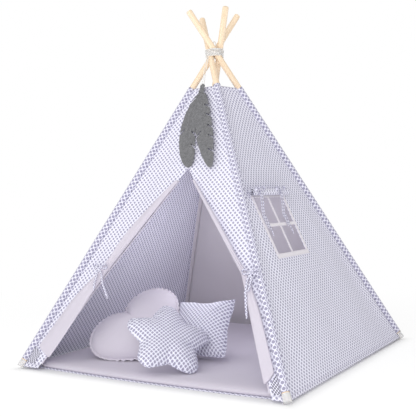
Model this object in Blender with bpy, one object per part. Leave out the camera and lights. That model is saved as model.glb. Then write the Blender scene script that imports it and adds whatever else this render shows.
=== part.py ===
"""A child's play teepee: four leaning poles lashed together, a sewn cover, a floor mat and three cushions.

Metres, +Z up, the doorway faces -Y. The origin is the middle of the mat's underside on the floor.
"""

import math

import bmesh
import bpy
from mathutils import Matrix, Vector

# Frame of poles
FOOT_SPACING = 1.2
CROSSING_HEIGHT = 1.285
POLE_LENGTH = 1.735
POLE_DIAMETER = 0.026
POLE_TIP_ROUND = 0.006
CROSSING_GAP = 0.0012
POLE_SIDES = 16

# Clear foot caps
CAP_WALL = 0.002
CAP_BASE = 0.0025
CAP_LENGTH = 0.030
CAP_FIT = 0.0004

# Sleeves sewn round the poles
SLEEVE_FABRIC = 0.0018
SLEEVE_FIT = 0.0006
SLEEVE_BOTTOM = 0.037

# Cover
COVER_TOP_DROP = 0.150
HEM_HEIGHT = 0.026
WALL_FABRIC = 0.002
SEAM_GAP = 0.0004
SEWN_GAP = 0.0007

# Each wall folds inwards about a level line this far behind and below the crossing
WALL_HINGE_INSET = 0.139
WALL_HINGE_DROP = 0.035

# Doorway in the front wall
DOOR_APEX_HEIGHT = 0.793
DOOR_TIE_HEIGHT = 0.392
# Cloth left between the sleeve and the doorway, at the hem and at the tie
DOOR_CORNER_STRIP = {"left": 0.078, "right": 0.040}
DOOR_TIE_STRIP = {"left": 0.1335, "right": 0.0430}
DOOR_EDGE_WIDTH = 0.007
DOOR_EDGE_THICKNESS = 0.004
DOOR_ROWS = 12

# Door flaps, each rolled back against its edge
FLAP_WIDTH = {"left": 0.068, "right": 0.036}
FLAP_THICKNESS = {"left": 0.022, "right": 0.024}
FLAP_TOP_DROP = 0.052
FLAP_BOTTOM_RISE = 0.022
FLAP_CORNER_LIFT = 0.040
FLAP_PINCH_SHARE = 0.52
FLAP_PINCH_LENGTH = 0.075
FLAP_SIDES = 12
FLAP_ROWS = 14

FLAP_FILL_SHARE = 2.2
FLAP_TOP_SHARE = 0.12
FLAP_FLAT_SHARE = 0.35
FLAP_PINCH_FLAT_SHARE = 0.25

# Bows that hold the flaps and the window blind
BOW_LOOP_LENGTH = 0.034
BOW_LOOP_WIDTH = 0.020
BOW_TAIL_WIDTH = 0.009
BOW_THICKNESS = 0.006
BOW_KNOT_WIDTH = 0.012
# Points of a loop's edge: across as shares of its length, up as shares of its width
BOW_LOOP_SHARES = ((0.70, 0.65), (1.00, 0.40), (0.95, -0.10), (0.60, -0.15))
DOOR_TAILS = {"left": (0.085, 0.110), "right": (0.060, 0.142)}
# How far each door tie's knot sits outwards of its flap's middle, and how its long tail spreads inwards
DOOR_TIE_SHIFT = {"left": 0.012, "right": 0.026}
DOOR_TAIL_SPREAD = {"left": 0.055, "right": -0.010}
# A tail hangs straight down once it is this far below the knot, where it is clear of the flap
DOOR_TAIL_FREE = {"left": 0.062, "right": 0.068}

# Patterned tucks at the foot of each flap
TUCK_WIDTH = {"left": 0.046, "right": 0.030}
TUCK_THICKNESS = 0.003
TUCK_DROP = 0.006

# Window in the right wall
WINDOW_WIDTH = 0.242
WINDOW_HEIGHT = 0.214
WINDOW_SILL_SHARE = 0.3518
WINDOW_OFFSET = 0.094
WINDOW_TAPE = 0.017
WINDOW_BAR = 0.013
WINDOW_TAPE_THICKNESS = 0.0016
BLIND_DIAMETER = 0.029
BLIND_OVERHANG = {"front": 0.022, "back": 0.020}
BLIND_RISE = 0.012
WINDOW_TIE_INSET = {"front": 0.012, "back": 0.062}
WINDOW_TAILS = (0.135, 0.165)

# Lashing and the cord that carries the feathers
LASHING_CORD = 0.0045
LASHING_TURNS = 6
LASHING_TURN_GAP = 0.0008
LASHING_FIT = 0.0005
LASHING_POINTS = 24
LOOP_HEIGHT = 0.052
LOOP_WIDTH = 0.020
LOOP_CORD = 0.0035
LOOP_POINTS = 24
FEATHER_CORD = 0.0026
CORD_SEAT_ANGLE = math.radians(8)

# Felt feathers
FEATHER_LENGTH = {"left": 0.374, "right": 0.402}
FEATHER_WIDTH = 0.080
FEATHER_FELT = 0.003
FEATHER_GAP = 0.0010
FEATHER_STANDOFF = 0.0135
FEATHER_TILT_IN = math.radians(1.1)
FEATHER_YAW = math.radians(5.0)
FEATHER_ANGLE = {"left": math.radians(2.8), "right": math.radians(16.7)}
# Half width of a feather, as shares of its width, at shares of its length from the eyelet
FEATHER_SHARES = (
    (0.00, 0.13),
    (0.05, 0.12),
    (0.08, 0.09),
    (0.13, 0.25),
    (0.20, 0.34),
    (0.34, 0.44),
    (0.50, 0.49),
    (0.66, 0.50),
    (0.80, 0.47),
    (0.90, 0.38),
    (0.96, 0.25),
    (0.99, 0.10),
)
# Where barbs part on each feather's right and left edges, as shares of its length
NOTCH_SHARES = {
    "left": ((0.62, 0.78), (0.20, 0.58)),
    "right": ((0.30, 0.42, 0.56, 0.68, 0.84), (0.60,)),
}
NOTCH_DEPTH_SHARE = 0.15
NOTCH_RISE_SHARE = 0.035
FEATHER_BEND_SHARES = {"left": -0.10, "right": -0.03}
EYELET_DIAMETER = 0.0075
EYELET_COLLAR = 0.009
EYELET_OFFSET = 0.010
EYELET_DROP = 0.004

# Mat
MAT_INSET = 0.050
MAT_CORNER = 0.040
MAT_FRONT_BOW = 0.022
MAT_PAD_THICKNESS = 0.026
MAT_EDGE_ROUND = 0.008
MAT_SHEET_THICKNESS = 0.003
MAT_SHEET_OVERHANG = 0.004
SEAT_GAP = 0.0004

# Cushions
STAR_RADIUS = 0.163
STAR_THICKNESS = 0.090
HEART_WIDTH = 0.398
HEART_THICKNESS = 0.125
SQUARE_SIDE = 0.250
SQUARE_THICKNESS = 0.115
CUSHION_RINGS = 7
STAR_INNER_SHARE = 0.54
STAR_TIP_ANGLE = 0.16
SQUARE_DRAWN_IN_SHARE = 0.09
# Rings of a cushion gather near its seam, and its height falls off towards it
RING_POWER_SHARE = 0.8
CROWN_POWER_SHARES = (2.3, 0.6)
# Where each cushion's middle stands, as shares of the mat's half width
STAR_PLACE_SHARES = (0.058, -0.815)
HEART_PLACE_SHARES = (-0.375, -0.550)
SQUARE_PLACE_SHARES = (0.060, -0.385)
# Which way each cushion faces: round from -Y towards +X, upwards, and turned about that way, in degrees
STAR_FACING = (58, 47, -19)
HEART_FACING = (18, 45, 47)
SQUARE_FACING = (2, 37, 6)

# Cutters run this far past what they cut
OVERRUN = 0.004

CORNERS = {
    "front_left": (-1, -1),
    "front_right": (1, -1),
    "back_right": (1, 1),
    "back_left": (-1, 1),
}
UP = Vector((0, 0, 1))
COVER_TOP = CROSSING_HEIGHT - COVER_TOP_DROP
# The sill goes up and down with the crossing, where the wall is as wide beside it
WINDOW_SILL = WINDOW_SILL_SHARE * CROSSING_HEIGHT
POLE_RADIUS = POLE_DIAMETER / 2
CAP_RADIUS = POLE_RADIUS + CAP_FIT + CAP_WALL
SLEEVE_RADIUS = POLE_RADIUS + SLEEVE_FIT + SLEEVE_FABRIC
MAT_HALF = FOOT_SPACING / 2 - MAT_INSET
MAT_TOP = MAT_SHEET_THICKNESS + SEAT_GAP + MAT_PAD_THICKNESS

COLOURS = {
    "pine": ((0.80, 0.62, 0.42, 1), 0.55, 0),
    "clear_plastic": ((0.86, 0.88, 0.88, 1), 0.25, 0),
    "print": ((0.74, 0.73, 0.80, 1), 0.9, 0),
    "plain": ((0.62, 0.58, 0.64, 1), 0.9, 0),
    "lining": ((0.70, 0.66, 0.72, 1), 0.9, 0),
    "tape": ((0.66, 0.64, 0.62, 1), 0.9, 0),
    "felt": ((0.20, 0.20, 0.21, 1), 0.95, 0),
    "cord": ((0.85, 0.83, 0.80, 1), 0.8, 0),
}


def material(name):
    found = bpy.data.materials.get(name)
    if found:
        return found
    colour, roughness, metallic = COLOURS[name]
    made = bpy.data.materials.new(name)
    made.use_nodes = True
    shader = made.node_tree.nodes["Principled BSDF"]
    shader.inputs["Base Color"].default_value = colour
    shader.inputs["Roughness"].default_value = roughness
    shader.inputs["Metallic"].default_value = metallic
    made.diffuse_color = colour
    return made


def add(name, data, finish, origin=None, parent=None):
    """An object of this mesh or curve, whose points are moved so that its origin is on its joint."""
    if origin is not None:
        data.transform(Matrix.Translation(-origin))
    obj = bpy.data.objects.new(name, data)
    bpy.context.scene.collection.objects.link(obj)
    if origin is not None:
        obj.location = origin
    obj.parent = parent
    data.materials.append(material(finish))
    return obj


def mesh_of(name, points, faces, smooth=None):
    mesh = bpy.data.meshes.new(name)
    mesh.from_pydata([tuple(p) for p in points], [], faces)
    if smooth is not None:
        mesh.shade_smooth()
        mesh.set_sharp_from_angle(angle=smooth)
    return mesh


def lofted(rings):
    """Points and faces of a closed solid through equal rings, each counter-clockwise about the way on."""
    count = len(rings[0])
    points = [p for ring in rings for p in ring]
    faces = [tuple(reversed(range(count)))]
    for row in range(len(rings) - 1):
        low = row * count
        for k in range(count):
            after = (k + 1) % count
            faces.append((low + k, low + after, low + count + after, low + count + k))
    last = (len(rings) - 1) * count
    faces.append(tuple(last + k for k in range(count)))
    return points, faces


def circle(radius, along, sides=POLE_SIDES):
    turns = [2 * math.pi * k / sides for k in range(sides)]
    return [Vector((radius * math.cos(a), radius * math.sin(a), along)) for a in turns]


# Where the poles run


class Pole:
    """One pole's axis. It passes the crossing's middle at the waist radius, always on the same side."""

    def __init__(self, corner):
        reach = Vector((corner[0] * FOOT_SPACING / 2, corner[1] * FOOT_SPACING / 2, 0))
        lean = math.atan2(reach.length, CROSSING_HEIGHT)
        spread = math.sqrt(math.cos(lean) ** 2 + math.sin(lean) ** 2 / 2)
        side = math.sqrt(2) * math.cos(lean) / spread
        self.waist_radius = (POLE_DIAMETER + CROSSING_GAP) / side
        self.run = math.sqrt(reach.length**2 - self.waist_radius**2)
        turn = math.atan2(self.waist_radius, self.run)
        self.outward = Matrix.Rotation(turn, 3, "Z") @ reach.normalized()
        self.tangent = UP.cross(self.outward)
        self.waist = UP * CROSSING_HEIGHT - self.tangent * self.waist_radius
        self.tilt = math.atan2(self.run, CROSSING_HEIGHT)
        self.direction = UP * math.cos(self.tilt) - self.outward * math.sin(self.tilt)
        self.foot_height = CAP_RADIUS * math.sin(self.tilt)

    def at(self, height):
        """The point of the axis at this height."""
        return self.waist + self.direction * ((height - CROSSING_HEIGHT) / math.cos(self.tilt))

    def below_waist(self, height):
        return (height - CROSSING_HEIGHT) / math.cos(self.tilt)

    def hinge(self, name):
        """An empty on the fold joint: local Z runs up the pole and local Y is the joint's axis."""
        empty = bpy.data.objects.new(name, None)
        bpy.context.scene.collection.objects.link(empty)
        across = self.tangent.cross(self.direction)
        axes = Matrix((across, self.tangent, self.direction)).transposed()
        empty.matrix_world = Matrix.Translation(self.waist) @ axes.to_4x4()
        return empty


POLES = {name: Pole(corner) for name, corner in CORNERS.items()}


def make_leg(name, pole):
    hinge = pole.hinge("leg_hinge_" + name)
    foot = pole.below_waist(pole.foot_height)
    start = foot + CAP_BASE + CAP_FIT
    end = start + POLE_LENGTH
    arc = [math.pi / 2 * k / 3 for k in range(4)]
    shoulder = end - POLE_TIP_ROUND
    rings = [circle(POLE_RADIUS, start)]
    for a in arc:
        inset = POLE_TIP_ROUND * (1 - math.cos(a))
        rings.append(circle(POLE_RADIUS - inset, shoulder + POLE_TIP_ROUND * math.sin(a)))
    wood = mesh_of("pole", *lofted(rings), smooth=math.radians(40))
    add("pole_" + name, wood, "pine", parent=hinge)

    bore = CAP_RADIUS - CAP_WALL
    mouth = foot + CAP_LENGTH
    outside = [circle(CAP_RADIUS, foot), circle(CAP_RADIUS, mouth)]
    inside = [circle(bore, mouth), circle(bore, foot + CAP_BASE)]
    cup = mesh_of("cap", *lofted(outside + inside), smooth=math.radians(40))
    add("foot_cap_" + name, cup, "clear_plastic", parent=hinge)

    low = pole.below_waist(SLEEVE_BOTTOM)
    high = pole.below_waist(COVER_TOP)
    hollow = SLEEVE_RADIUS - SLEEVE_FABRIC
    profile = [(SLEEVE_RADIUS, low), (SLEEVE_RADIUS, high), (hollow, high), (hollow, low)]
    rings = [circle(radius, along) for radius, along in profile]
    points, faces = lofted(rings + rings[:1])
    # The last ring is the first one again, so its faces join up with it and the two end caps go.
    count = POLE_SIDES
    faces = [tuple(i % (4 * count) for i in face) for face in faces[1:-1]]
    tube = mesh_of("sleeve", points[: 4 * count], faces, smooth=math.radians(40))
    add("pole_sleeve_" + name, tube, "print", parent=hinge)


# The four sewn walls


class Wall:
    """The sheet between two neighbouring poles, seen from outside with across running to the right."""

    def __init__(self, start, end, across):
        self.start = POLES[start]
        self.end = POLES[end]
        self.across = Vector(across)
        level = self.across.cross(UP)
        lean = math.atan2(FOOT_SPACING / 2, CROSSING_HEIGHT)
        self.lean = lean
        self.out = level * math.cos(lean) + UP * math.sin(lean)
        self.hinge = UP * (CROSSING_HEIGHT - WALL_HINGE_DROP) - level * WALL_HINGE_INSET

    def ends(self, height):
        """How far along across the cloth starts and ends at this height, just clear of both sleeves."""
        a = self.start.at(height)
        b = self.end.at(height)
        way = (b - a).normalized()
        places = []
        for pole, point, sign in ((self.start, a, 1), (self.end, b, -1)):
            slant = math.sqrt(1 - pole.direction.dot(way) ** 2)
            clear = (SLEEVE_RADIUS + SEAM_GAP) / slant
            places.append((point + way * sign * clear).dot(self.across))
        return places

    def at(self, across, height, out=0):
        """The point of the cloth at this place, moved outwards from its middle."""
        a = self.start.at(height)
        b = self.end.at(height)
        share = (across - a.dot(self.across)) / (b - a).dot(self.across)
        return a + (b - a) * share + self.out * out


WALLS = {
    "front": Wall("front_left", "front_right", (1, 0, 0)),
    "right": Wall("front_right", "back_right", (0, 1, 0)),
    "back": Wall("back_right", "back_left", (-1, 0, 0)),
    "left": Wall("back_left", "front_left", (0, -1, 0)),
}


def sewn(wall, places, faces, low, high):
    """A closed sheet on this wall from flat places (across, height) and faces, between two distances out.

    Each distance is a number, or a function of the height.
    """
    count = len(places)
    points = [wall.at(x, z, high(z) if callable(high) else high) for x, z in places]
    points += [wall.at(x, z, low(z) if callable(low) else low) for x, z in places]
    edges = {(f[k], f[(k + 1) % len(f)]) for f in faces for k in range(len(f))}
    solid = [tuple(f) for f in faces]
    solid += [tuple(i + count for i in reversed(f)) for f in faces]
    for a, b in sorted(edges):
        if (b, a) not in edges:
            solid.append((b, a, a + count, b + count))
    return points, solid


def grid(rows, keep=lambda row, column: True):
    """Places and faces of a grid given as rows of places, bottom row first."""
    width = len(rows[0])
    places = [place for row in rows for place in row]
    faces = []
    for r in range(len(rows) - 1):
        for c in range(width - 1):
            if keep(r, c):
                low = r * width + c
                faces.append((low, low + 1, low + width + 1, low + width))
    return places, faces


def spaced(low, high, count):
    return [low + (high - low) * k / count for k in range(count + 1)]


def used_only(places, faces):
    """The same grid without the places that no face uses."""
    used = sorted({i for f in faces for i in f})
    new = {old: k for k, old in enumerate(used)}
    return [places[i] for i in used], [tuple(new[i] for i in f) for f in faces]


def make_plain_wall(name, finish):
    wall = WALLS[name]
    rows = []
    for height in spaced(HEM_HEIGHT, COVER_TOP, 8):
        start, end = wall.ends(height)
        rows.append([(x, height) for x in spaced(start, end, 4)])
    half = WALL_FABRIC / 2
    cloth = mesh_of(name, *sewn(wall, *grid(rows), -half, half))
    add("wall_" + name, cloth, finish, origin=wall.hinge)


def door_edge_place(side, height):
    """Where the doorway's edge is at this height. The cloth beside it widens steadily up to the apex."""
    wall = WALLS["front"]
    ends = wall.ends(height)
    apex_ends = wall.ends(DOOR_APEX_HEIGHT)
    end, full = (ends[0], -apex_ends[0]) if side == "left" else (ends[1], apex_ends[1])
    corner = DOOR_CORNER_STRIP[side]
    tie = DOOR_TIE_STRIP[side]
    if height < DOOR_TIE_HEIGHT:
        strip = corner + (tie - corner) * (height - HEM_HEIGHT) / (DOOR_TIE_HEIGHT - HEM_HEIGHT)
    else:
        strip = tie + (full - tie) * (height - DOOR_TIE_HEIGHT) / (DOOR_APEX_HEIGHT - DOOR_TIE_HEIGHT)
    return end - sign_of(side) * strip


def door_heights():
    """Heights of the rows that both sides of the doorway are made of."""
    return spaced(HEM_HEIGHT, DOOR_APEX_HEIGHT - FLAP_TOP_DROP, DOOR_ROWS)


def make_front_wall():
    """Two strips beside the doorway, joined above its apex by one sheet."""
    wall = WALLS["front"]
    rows = []
    for height in door_heights():
        start, end = wall.ends(height)
        left = door_edge_place("left", height)
        right = door_edge_place("right", height)
        row = spaced(start, left, 2) + spaced(right, end, 2)
        rows.append([(x, height) for x in row])
    places, faces = grid(rows, lambda row, column: column != 2)
    base = len(places)
    upper = []
    for height in spaced(DOOR_APEX_HEIGHT, COVER_TOP, 4):
        start, end = wall.ends(height)
        row = spaced(start, 0, 2) + spaced(0, end, 2)[1:]
        upper.append([(x, height) for x in row])
    more, over = grid(upper)
    places += more
    faces += [tuple(i + base for i in f) for f in over]
    last = base - 6
    for column, above in ((0, 0), (1, 1), (3, 2), (4, 3)):
        low = last + column
        faces.append((low, low + 1, base + above + 1, base + above))
    half = WALL_FABRIC / 2
    cloth = mesh_of("front", *sewn(wall, places, faces, -half, half))
    add("wall_front", cloth, "print", origin=wall.hinge)


def window_sides():
    """The window's opening: left and right across, sill and head height."""
    left = -WINDOW_OFFSET - WINDOW_WIDTH / 2
    return left, left + WINDOW_WIDTH, WINDOW_SILL, WINDOW_SILL + WINDOW_HEIGHT


def make_right_wall():
    wall = WALLS["right"]
    left, right, sill, head = window_sides()
    middle = (left + right) / 2

    def columns(height):
        start, end = wall.ends(height)
        if sill <= height <= head:
            return spaced(start, left, 2) + [middle] + spaced(right, end, 3)
        level = min(max(height, sill), head)
        low, high = wall.ends(level)
        shares = [(x - low) / (high - low) for x in columns(level)]
        return [start + share * (end - start) for share in shares]

    heights = spaced(HEM_HEIGHT, sill, 4) + spaced(sill, head, 2)[1:] + spaced(head, COVER_TOP, 5)[1:]
    rows = [[(x, height) for x in columns(height)] for height in heights]
    places, faces = grid(rows, lambda row, column: not (row in (4, 5) and column in (2, 3)))
    places, faces = used_only(places, faces)
    half = WALL_FABRIC / 2
    cloth = mesh_of("right", *sewn(wall, places, faces, -half, half))
    add("wall_right", cloth, "print", origin=wall.hinge)


# Doorway: bound edges, rolled flaps and their bows


def sign_of(side):
    return -1 if side == "left" else 1


def door_pivot():
    return WALLS["front"].at(0, DOOR_APEX_HEIGHT, WALL_FABRIC / 2)


def make_door_edge(side):
    """A bound edge just inside the doorway, which the flap is folded over."""
    wall = WALLS["front"]
    sign = sign_of(side)
    rows = []
    for height in door_heights():
        edge = door_edge_place(side, height) - sign * SEAM_GAP * 2
        inner = edge - sign * DOOR_EDGE_WIDTH
        rows.append([(x, height) for x in sorted((edge, inner))])
    half = DOOR_EDGE_THICKNESS / 2
    strip = mesh_of("edge", *sewn(wall, *grid(rows), -half, half))
    add("door_edge_" + side, strip, "lining", origin=door_pivot())


def flap_section(side, height):
    """Centre across, half width and half thickness of the rolled flap at this height."""
    top = DOOR_APEX_HEIGHT - FLAP_TOP_DROP
    bottom = HEM_HEIGHT + FLAP_BOTTOM_RISE
    fall = (top - height) / (top - bottom)
    swell = math.sin(min(1, fall * FLAP_FILL_SHARE + FLAP_TOP_SHARE) * math.pi / 2)
    pinch = math.exp(-(((height - DOOR_TIE_HEIGHT) / FLAP_PINCH_LENGTH) ** 2))
    waist = 1 - (1 - FLAP_PINCH_SHARE) * pinch
    half_width = FLAP_WIDTH[side] / 2 * swell * waist
    fullness = FLAP_FLAT_SHARE + (1 - FLAP_FLAT_SHARE) * swell
    fullness *= 1 - FLAP_PINCH_FLAT_SHARE * (1 - waist)
    half_thickness = FLAP_THICKNESS[side] / 2 * fullness
    edge = door_edge_place(side, height)
    return edge + sign_of(side) * half_width, half_width, half_thickness


def make_door_flap(side):
    wall = WALLS["front"]
    base = WALL_FABRIC / 2 + SEWN_GAP
    rings = []
    for row in range(FLAP_ROWS + 1):
        bottom = HEM_HEIGHT + FLAP_BOTTOM_RISE
        height = bottom + (DOOR_APEX_HEIGHT - FLAP_TOP_DROP - bottom) * row / FLAP_ROWS
        lift = FLAP_CORNER_LIFT * (1 - row / FLAP_ROWS) ** 3
        ring = []
        for k in range(FLAP_SIDES):
            a = 2 * math.pi * k / FLAP_SIDES
            raised = height + lift * (1 + sign_of(side) * math.cos(a)) / 2
            centre, half_width, half_thickness = flap_section(side, raised)
            out = base + half_thickness * (1 - math.sin(a))
            ring.append(wall.at(centre + half_width * math.cos(a), raised, out))
        rings.append(ring)
    roll = mesh_of("flap", *lofted(rings), smooth=math.radians(50))
    add("door_flap_" + side, roll, "lining", origin=door_pivot())


def bow_outline(tails, spread=0):
    """A bow seen flat: two loops, a knot between them and two tails, as (across, up) from the knot's middle.

    The longer tail runs sideways by the spread on its way down.
    """
    knot = BOW_KNOT_WIDTH / 2
    tail = BOW_TAIL_WIDTH
    near = knot / 2
    split = -knot - tail
    loop = [(x * BOW_LOOP_LENGTH, y * BOW_LOOP_WIDTH) for x, y in BOW_LOOP_SHARES]
    outline = [(knot, knot), *loop, (knot, -knot)]
    longer = [(spread * k / 4, split + (-max(tails) - split) * k / 4) for k in range(5)]
    outline += [(near + tail + x, z) for x, z in longer]
    outline += [(near + x, z) for x, z in reversed(longer)]
    outline += [(-near, z) for z in spaced(split, -min(tails), 4)]
    outline += [(-near - tail, z) for z in spaced(-min(tails), split, 4)]
    outline += [(-knot, -knot), *[(-x, y) for x, y in reversed(loop)], (-knot, knot)]
    return outline


def make_bow(name, wall, knot, low, outline, long_tail, origin):
    """A bow on this wall, whose back is this far out: a number, or a function of the height."""
    across, height = knot
    places = [(across - x, height + y) for x, y in outline]
    if long_tail == "right":
        places = [(across + x, height + y) for x, y in reversed(outline)]

    def high(z):
        return (low(z) if callable(low) else low) + BOW_THICKNESS

    points, faces = sewn(wall, places, [tuple(range(len(places)))], low, high)
    bow = mesh_of("bow", points, faces)
    cut_up(bow)
    add(name, bow, "print", origin=origin)


def cut_up(mesh):
    """Triangles in place of the faces with more than four sides, which aren't convex."""
    work = bmesh.new()
    work.from_mesh(mesh)
    bmesh.ops.triangulate(work, faces=[f for f in work.faces if len(f.verts) > 4])
    work.to_mesh(mesh)
    work.free()


def make_door_tie(side):
    wall = WALLS["front"]
    centre = flap_section(side, DOOR_TIE_HEIGHT)[0]
    knot = (centre + sign_of(side) * DOOR_TIE_SHIFT[side], DOOR_TIE_HEIGHT)
    free = DOOR_TIE_HEIGHT - DOOR_TAIL_FREE[side]

    def low(height):
        """Just in front of the flap, and below it where straight down from there leads."""
        over = flap_section(side, max(height, free))[2]
        front = WALL_FABRIC / 2 + SEWN_GAP + 2 * over + SEWN_GAP
        return front - max(0, free - height) * math.sin(wall.lean)

    outline = bow_outline(DOOR_TAILS[side], DOOR_TAIL_SPREAD[side])
    long_tail = "right" if side == "left" else "left"
    make_bow("door_tie_" + side, wall, knot, low, outline, long_tail, door_pivot())


def make_tuck(side):
    """A patterned patch under the flap's slanting foot, beside the sleeve."""
    wall = WALLS["front"]
    sign = sign_of(side)
    strip = DOOR_CORNER_STRIP[side]
    width = TUCK_WIDTH[side]

    def outer(height):
        start, end = wall.ends(height)
        return (start if side == "left" else end) - sign * SEWN_GAP

    def top(off):
        """The height just under the flap's foot, this far in from the sleeve."""
        share = (strip - off) / FLAP_WIDTH[side]
        return HEM_HEIGHT + FLAP_BOTTOM_RISE + FLAP_CORNER_LIFT * share - TUCK_DROP

    foot = HEM_HEIGHT + SEWN_GAP
    places = [(outer(foot) - sign * width, foot), (outer(foot), foot)]
    places += [(outer(top(0)), top(0)), (outer(top(width)) - sign * width, top(width))]
    if side == "left":
        places.reverse()
    low = WALL_FABRIC / 2 + SEWN_GAP
    patch = mesh_of("tuck", *sewn(wall, places, [(0, 1, 2, 3)], low, low + TUCK_THICKNESS))
    add("corner_tuck_" + side, patch, "print", origin=POLES["front_" + side].waist)


# Window: taped opening, crossbars, rolled blind and its ties


def make_window_frame():
    """Tape sewn round the opening on the outside."""
    left, right, sill, head = window_sides()
    tape = WINDOW_TAPE
    columns = [left - tape, left, (left + right) / 2, right, right + tape]
    heights = [sill - tape, sill, (sill + head) / 2, head, head + tape]
    rows = [[(x, z) for x in columns] for z in heights]
    places, faces = used_only(*grid(rows, lambda row, column: not (row in (1, 2) and column in (1, 2))))
    wall = WALLS["right"]
    low = WALL_FABRIC / 2 + SEWN_GAP
    ring = mesh_of("frame", *sewn(wall, places, faces, low, low + WINDOW_TAPE_THICKNESS))
    add("window_frame", ring, "tape", origin=wall.hinge)


def make_window_crossbars():
    """One upright and one level strip of tape that cross in the opening."""
    left, right, sill, head = window_sides()
    middle = (left + right) / 2
    level = (sill + head) / 2
    half = WINDOW_BAR / 2
    columns = [left + SEAM_GAP, middle - half, middle + half, right - SEAM_GAP]
    heights = [sill + SEAM_GAP, level - half, level + half, head - SEAM_GAP]
    rows = [[(x, z) for x in columns] for z in heights]
    places, faces = used_only(*grid(rows, lambda row, column: row == 1 or column == 1))
    wall = WALLS["right"]
    cross = mesh_of("bars", *sewn(wall, places, faces, -WALL_FABRIC / 2, WALL_FABRIC / 2))
    add("window_crossbars", cross, "tape", origin=wall.hinge)


def blind_height():
    head = window_sides()[3]
    return head + BLIND_RISE + BLIND_DIAMETER / 2 * math.cos(WALLS["right"].lean)


def make_window_blind():
    wall = WALLS["right"]
    left, right, sill, head = window_sides()
    radius = BLIND_DIAMETER / 2
    base = WALL_FABRIC / 2 + SEWN_GAP
    rings = []
    for across in spaced(left - BLIND_OVERHANG["front"], right + BLIND_OVERHANG["back"], 6):
        ring = []
        for k in range(FLAP_SIDES):
            a = 2 * math.pi * k / FLAP_SIDES
            height = blind_height() + radius * math.cos(wall.lean) * math.cos(a)
            ring.append(wall.at(across, height, base + radius * (1 + math.sin(a))))
        rings.append(ring)
    roll = mesh_of("blind", *lofted(rings), smooth=math.radians(50))
    add("window_blind_roll", roll, "print", origin=wall.hinge)


def make_window_tie(name):
    """A bow in front of the rolled blind. Its tails hang straight down until they meet the sloping wall."""
    wall = WALLS["right"]
    left, right, sill, head = window_sides()
    across = left + WINDOW_TIE_INSET["front"] if name == "front" else right - WINDOW_TIE_INSET["back"]
    top = WALL_FABRIC / 2 + SEWN_GAP + BLIND_DIAMETER + SEWN_GAP
    rest = WALL_FABRIC / 2 + SEWN_GAP + WINDOW_TAPE_THICKNESS + SEWN_GAP

    def low(height):
        return max(rest, top - max(0, blind_height() - BLIND_DIAMETER / 2 - height) * math.sin(wall.lean))

    knot = (across, blind_height())
    make_bow("window_tie_" + name, wall, knot, low, bow_outline(WINDOW_TAILS), "right", wall.hinge)


# Lashing, its loop, and the cord that carries the feathers


def crossing_hull(height, angle, clear):
    """Where a cord round the poles runs at this height, on the side that faces this angle.

    It leaves them room to turn from their lean at rest until they stand upright.
    """
    facing = Vector((math.cos(angle), math.sin(angle), 0))
    above = height - CROSSING_HEIGHT
    best = None
    for pole in POLES.values():
        for tilt in (pole.tilt, 0):
            centre = pole.waist + UP * above - pole.outward * above * math.tan(tilt)
            long_axis = POLE_RADIUS / math.cos(tilt)
            outward = facing.dot(pole.outward)
            sideways = facing.dot(pole.tangent)
            reach = math.hypot(long_axis * outward, POLE_RADIUS * sideways)
            if best is None or centre.dot(facing) + reach > best[0]:
                on_section = pole.outward * long_axis**2 * outward + pole.tangent * POLE_RADIUS**2 * sideways
                best = (centre.dot(facing) + reach, centre + on_section / reach)
    return best[1] + facing * clear


def cord_object(name, route, diameter, sides_level, closed=False):
    data = bpy.data.curves.new(name, "CURVE")
    data.dimensions = "3D"
    data.bevel_depth = diameter / 2
    data.bevel_resolution = sides_level
    data.use_fill_caps = not closed
    spline = data.splines.new("POLY")
    spline.points.add(len(route) - 1)
    for point, place in zip(spline.points, route):
        point.co = (*place, 1)
    spline.use_cyclic_u = closed
    return data


def lashing_height(turn):
    """Height of the lashing's middle line after this many turns."""
    pitch = LASHING_CORD + LASHING_TURN_GAP
    return CROSSING_HEIGHT + (turn - LASHING_TURNS / 2) * pitch


def lashing_clear():
    tilt = POLES["front_left"].tilt
    return LASHING_CORD / 2 / math.cos(tilt) + LASHING_FIT


def make_lashing():
    route = []
    for k in range(LASHING_TURNS * LASHING_POINTS + 1):
        turn = k / LASHING_POINTS
        route.append(crossing_hull(lashing_height(turn), 2 * math.pi * turn, lashing_clear()))
    least = min(
        (route[i] - route[j]).length
        for i in range(len(route))
        for j in range(i + LASHING_POINTS // 2, len(route))
    )
    print(f"lashing_cord: least gap to itself {1000 * (least - LASHING_CORD):.2f} mm")
    origin = UP * CROSSING_HEIGHT
    add("lashing_cord", cord_object("lashing", route, LASHING_CORD, 1), "cord", origin=origin)


def make_lashing_loop():
    """A hanging loop that stands up out of the crossing, held between two of the poles at its foot."""
    pole = POLES["front_right"]
    dip = LOOP_WIDTH
    height = LOOP_HEIGHT + dip
    at_waist = math.acos(1 - 2 * dip / height)
    held = pole.waist_radius - POLE_RADIUS - LOOP_CORD / 2 - LASHING_FIT
    narrow = held / math.sin(at_waist)
    route = []
    for k in range(LOOP_POINTS):
        a = 2 * math.pi * k / LOOP_POINTS
        share = (1 - math.cos(a)) / 2
        half = narrow + (LOOP_WIDTH / 2 - narrow) * max(0, share - dip / height)
        place = UP * (CROSSING_HEIGHT - dip + height * share) + pole.tangent * half * math.sin(a)
        route.append(place)
    loop = cord_object("loop", route, LOOP_CORD, 1, closed=True)
    add("lashing_loop", loop, "cord", origin=UP * CROSSING_HEIGHT)


def feather_axes():
    """The eyelet's place, and the ways right, down and outwards of the plane that the feathers hang in."""
    wall = WALLS["front"]
    place = wall.at(-EYELET_OFFSET, COVER_TOP - EYELET_DROP, FEATHER_STANDOFF)
    down = Matrix.Rotation(FEATHER_TILT_IN, 3, wall.across) @ wall.across.cross(wall.out)
    right = Matrix.Rotation(FEATHER_YAW, 3, down) @ wall.across
    return place, right, down, down.cross(right)


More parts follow.
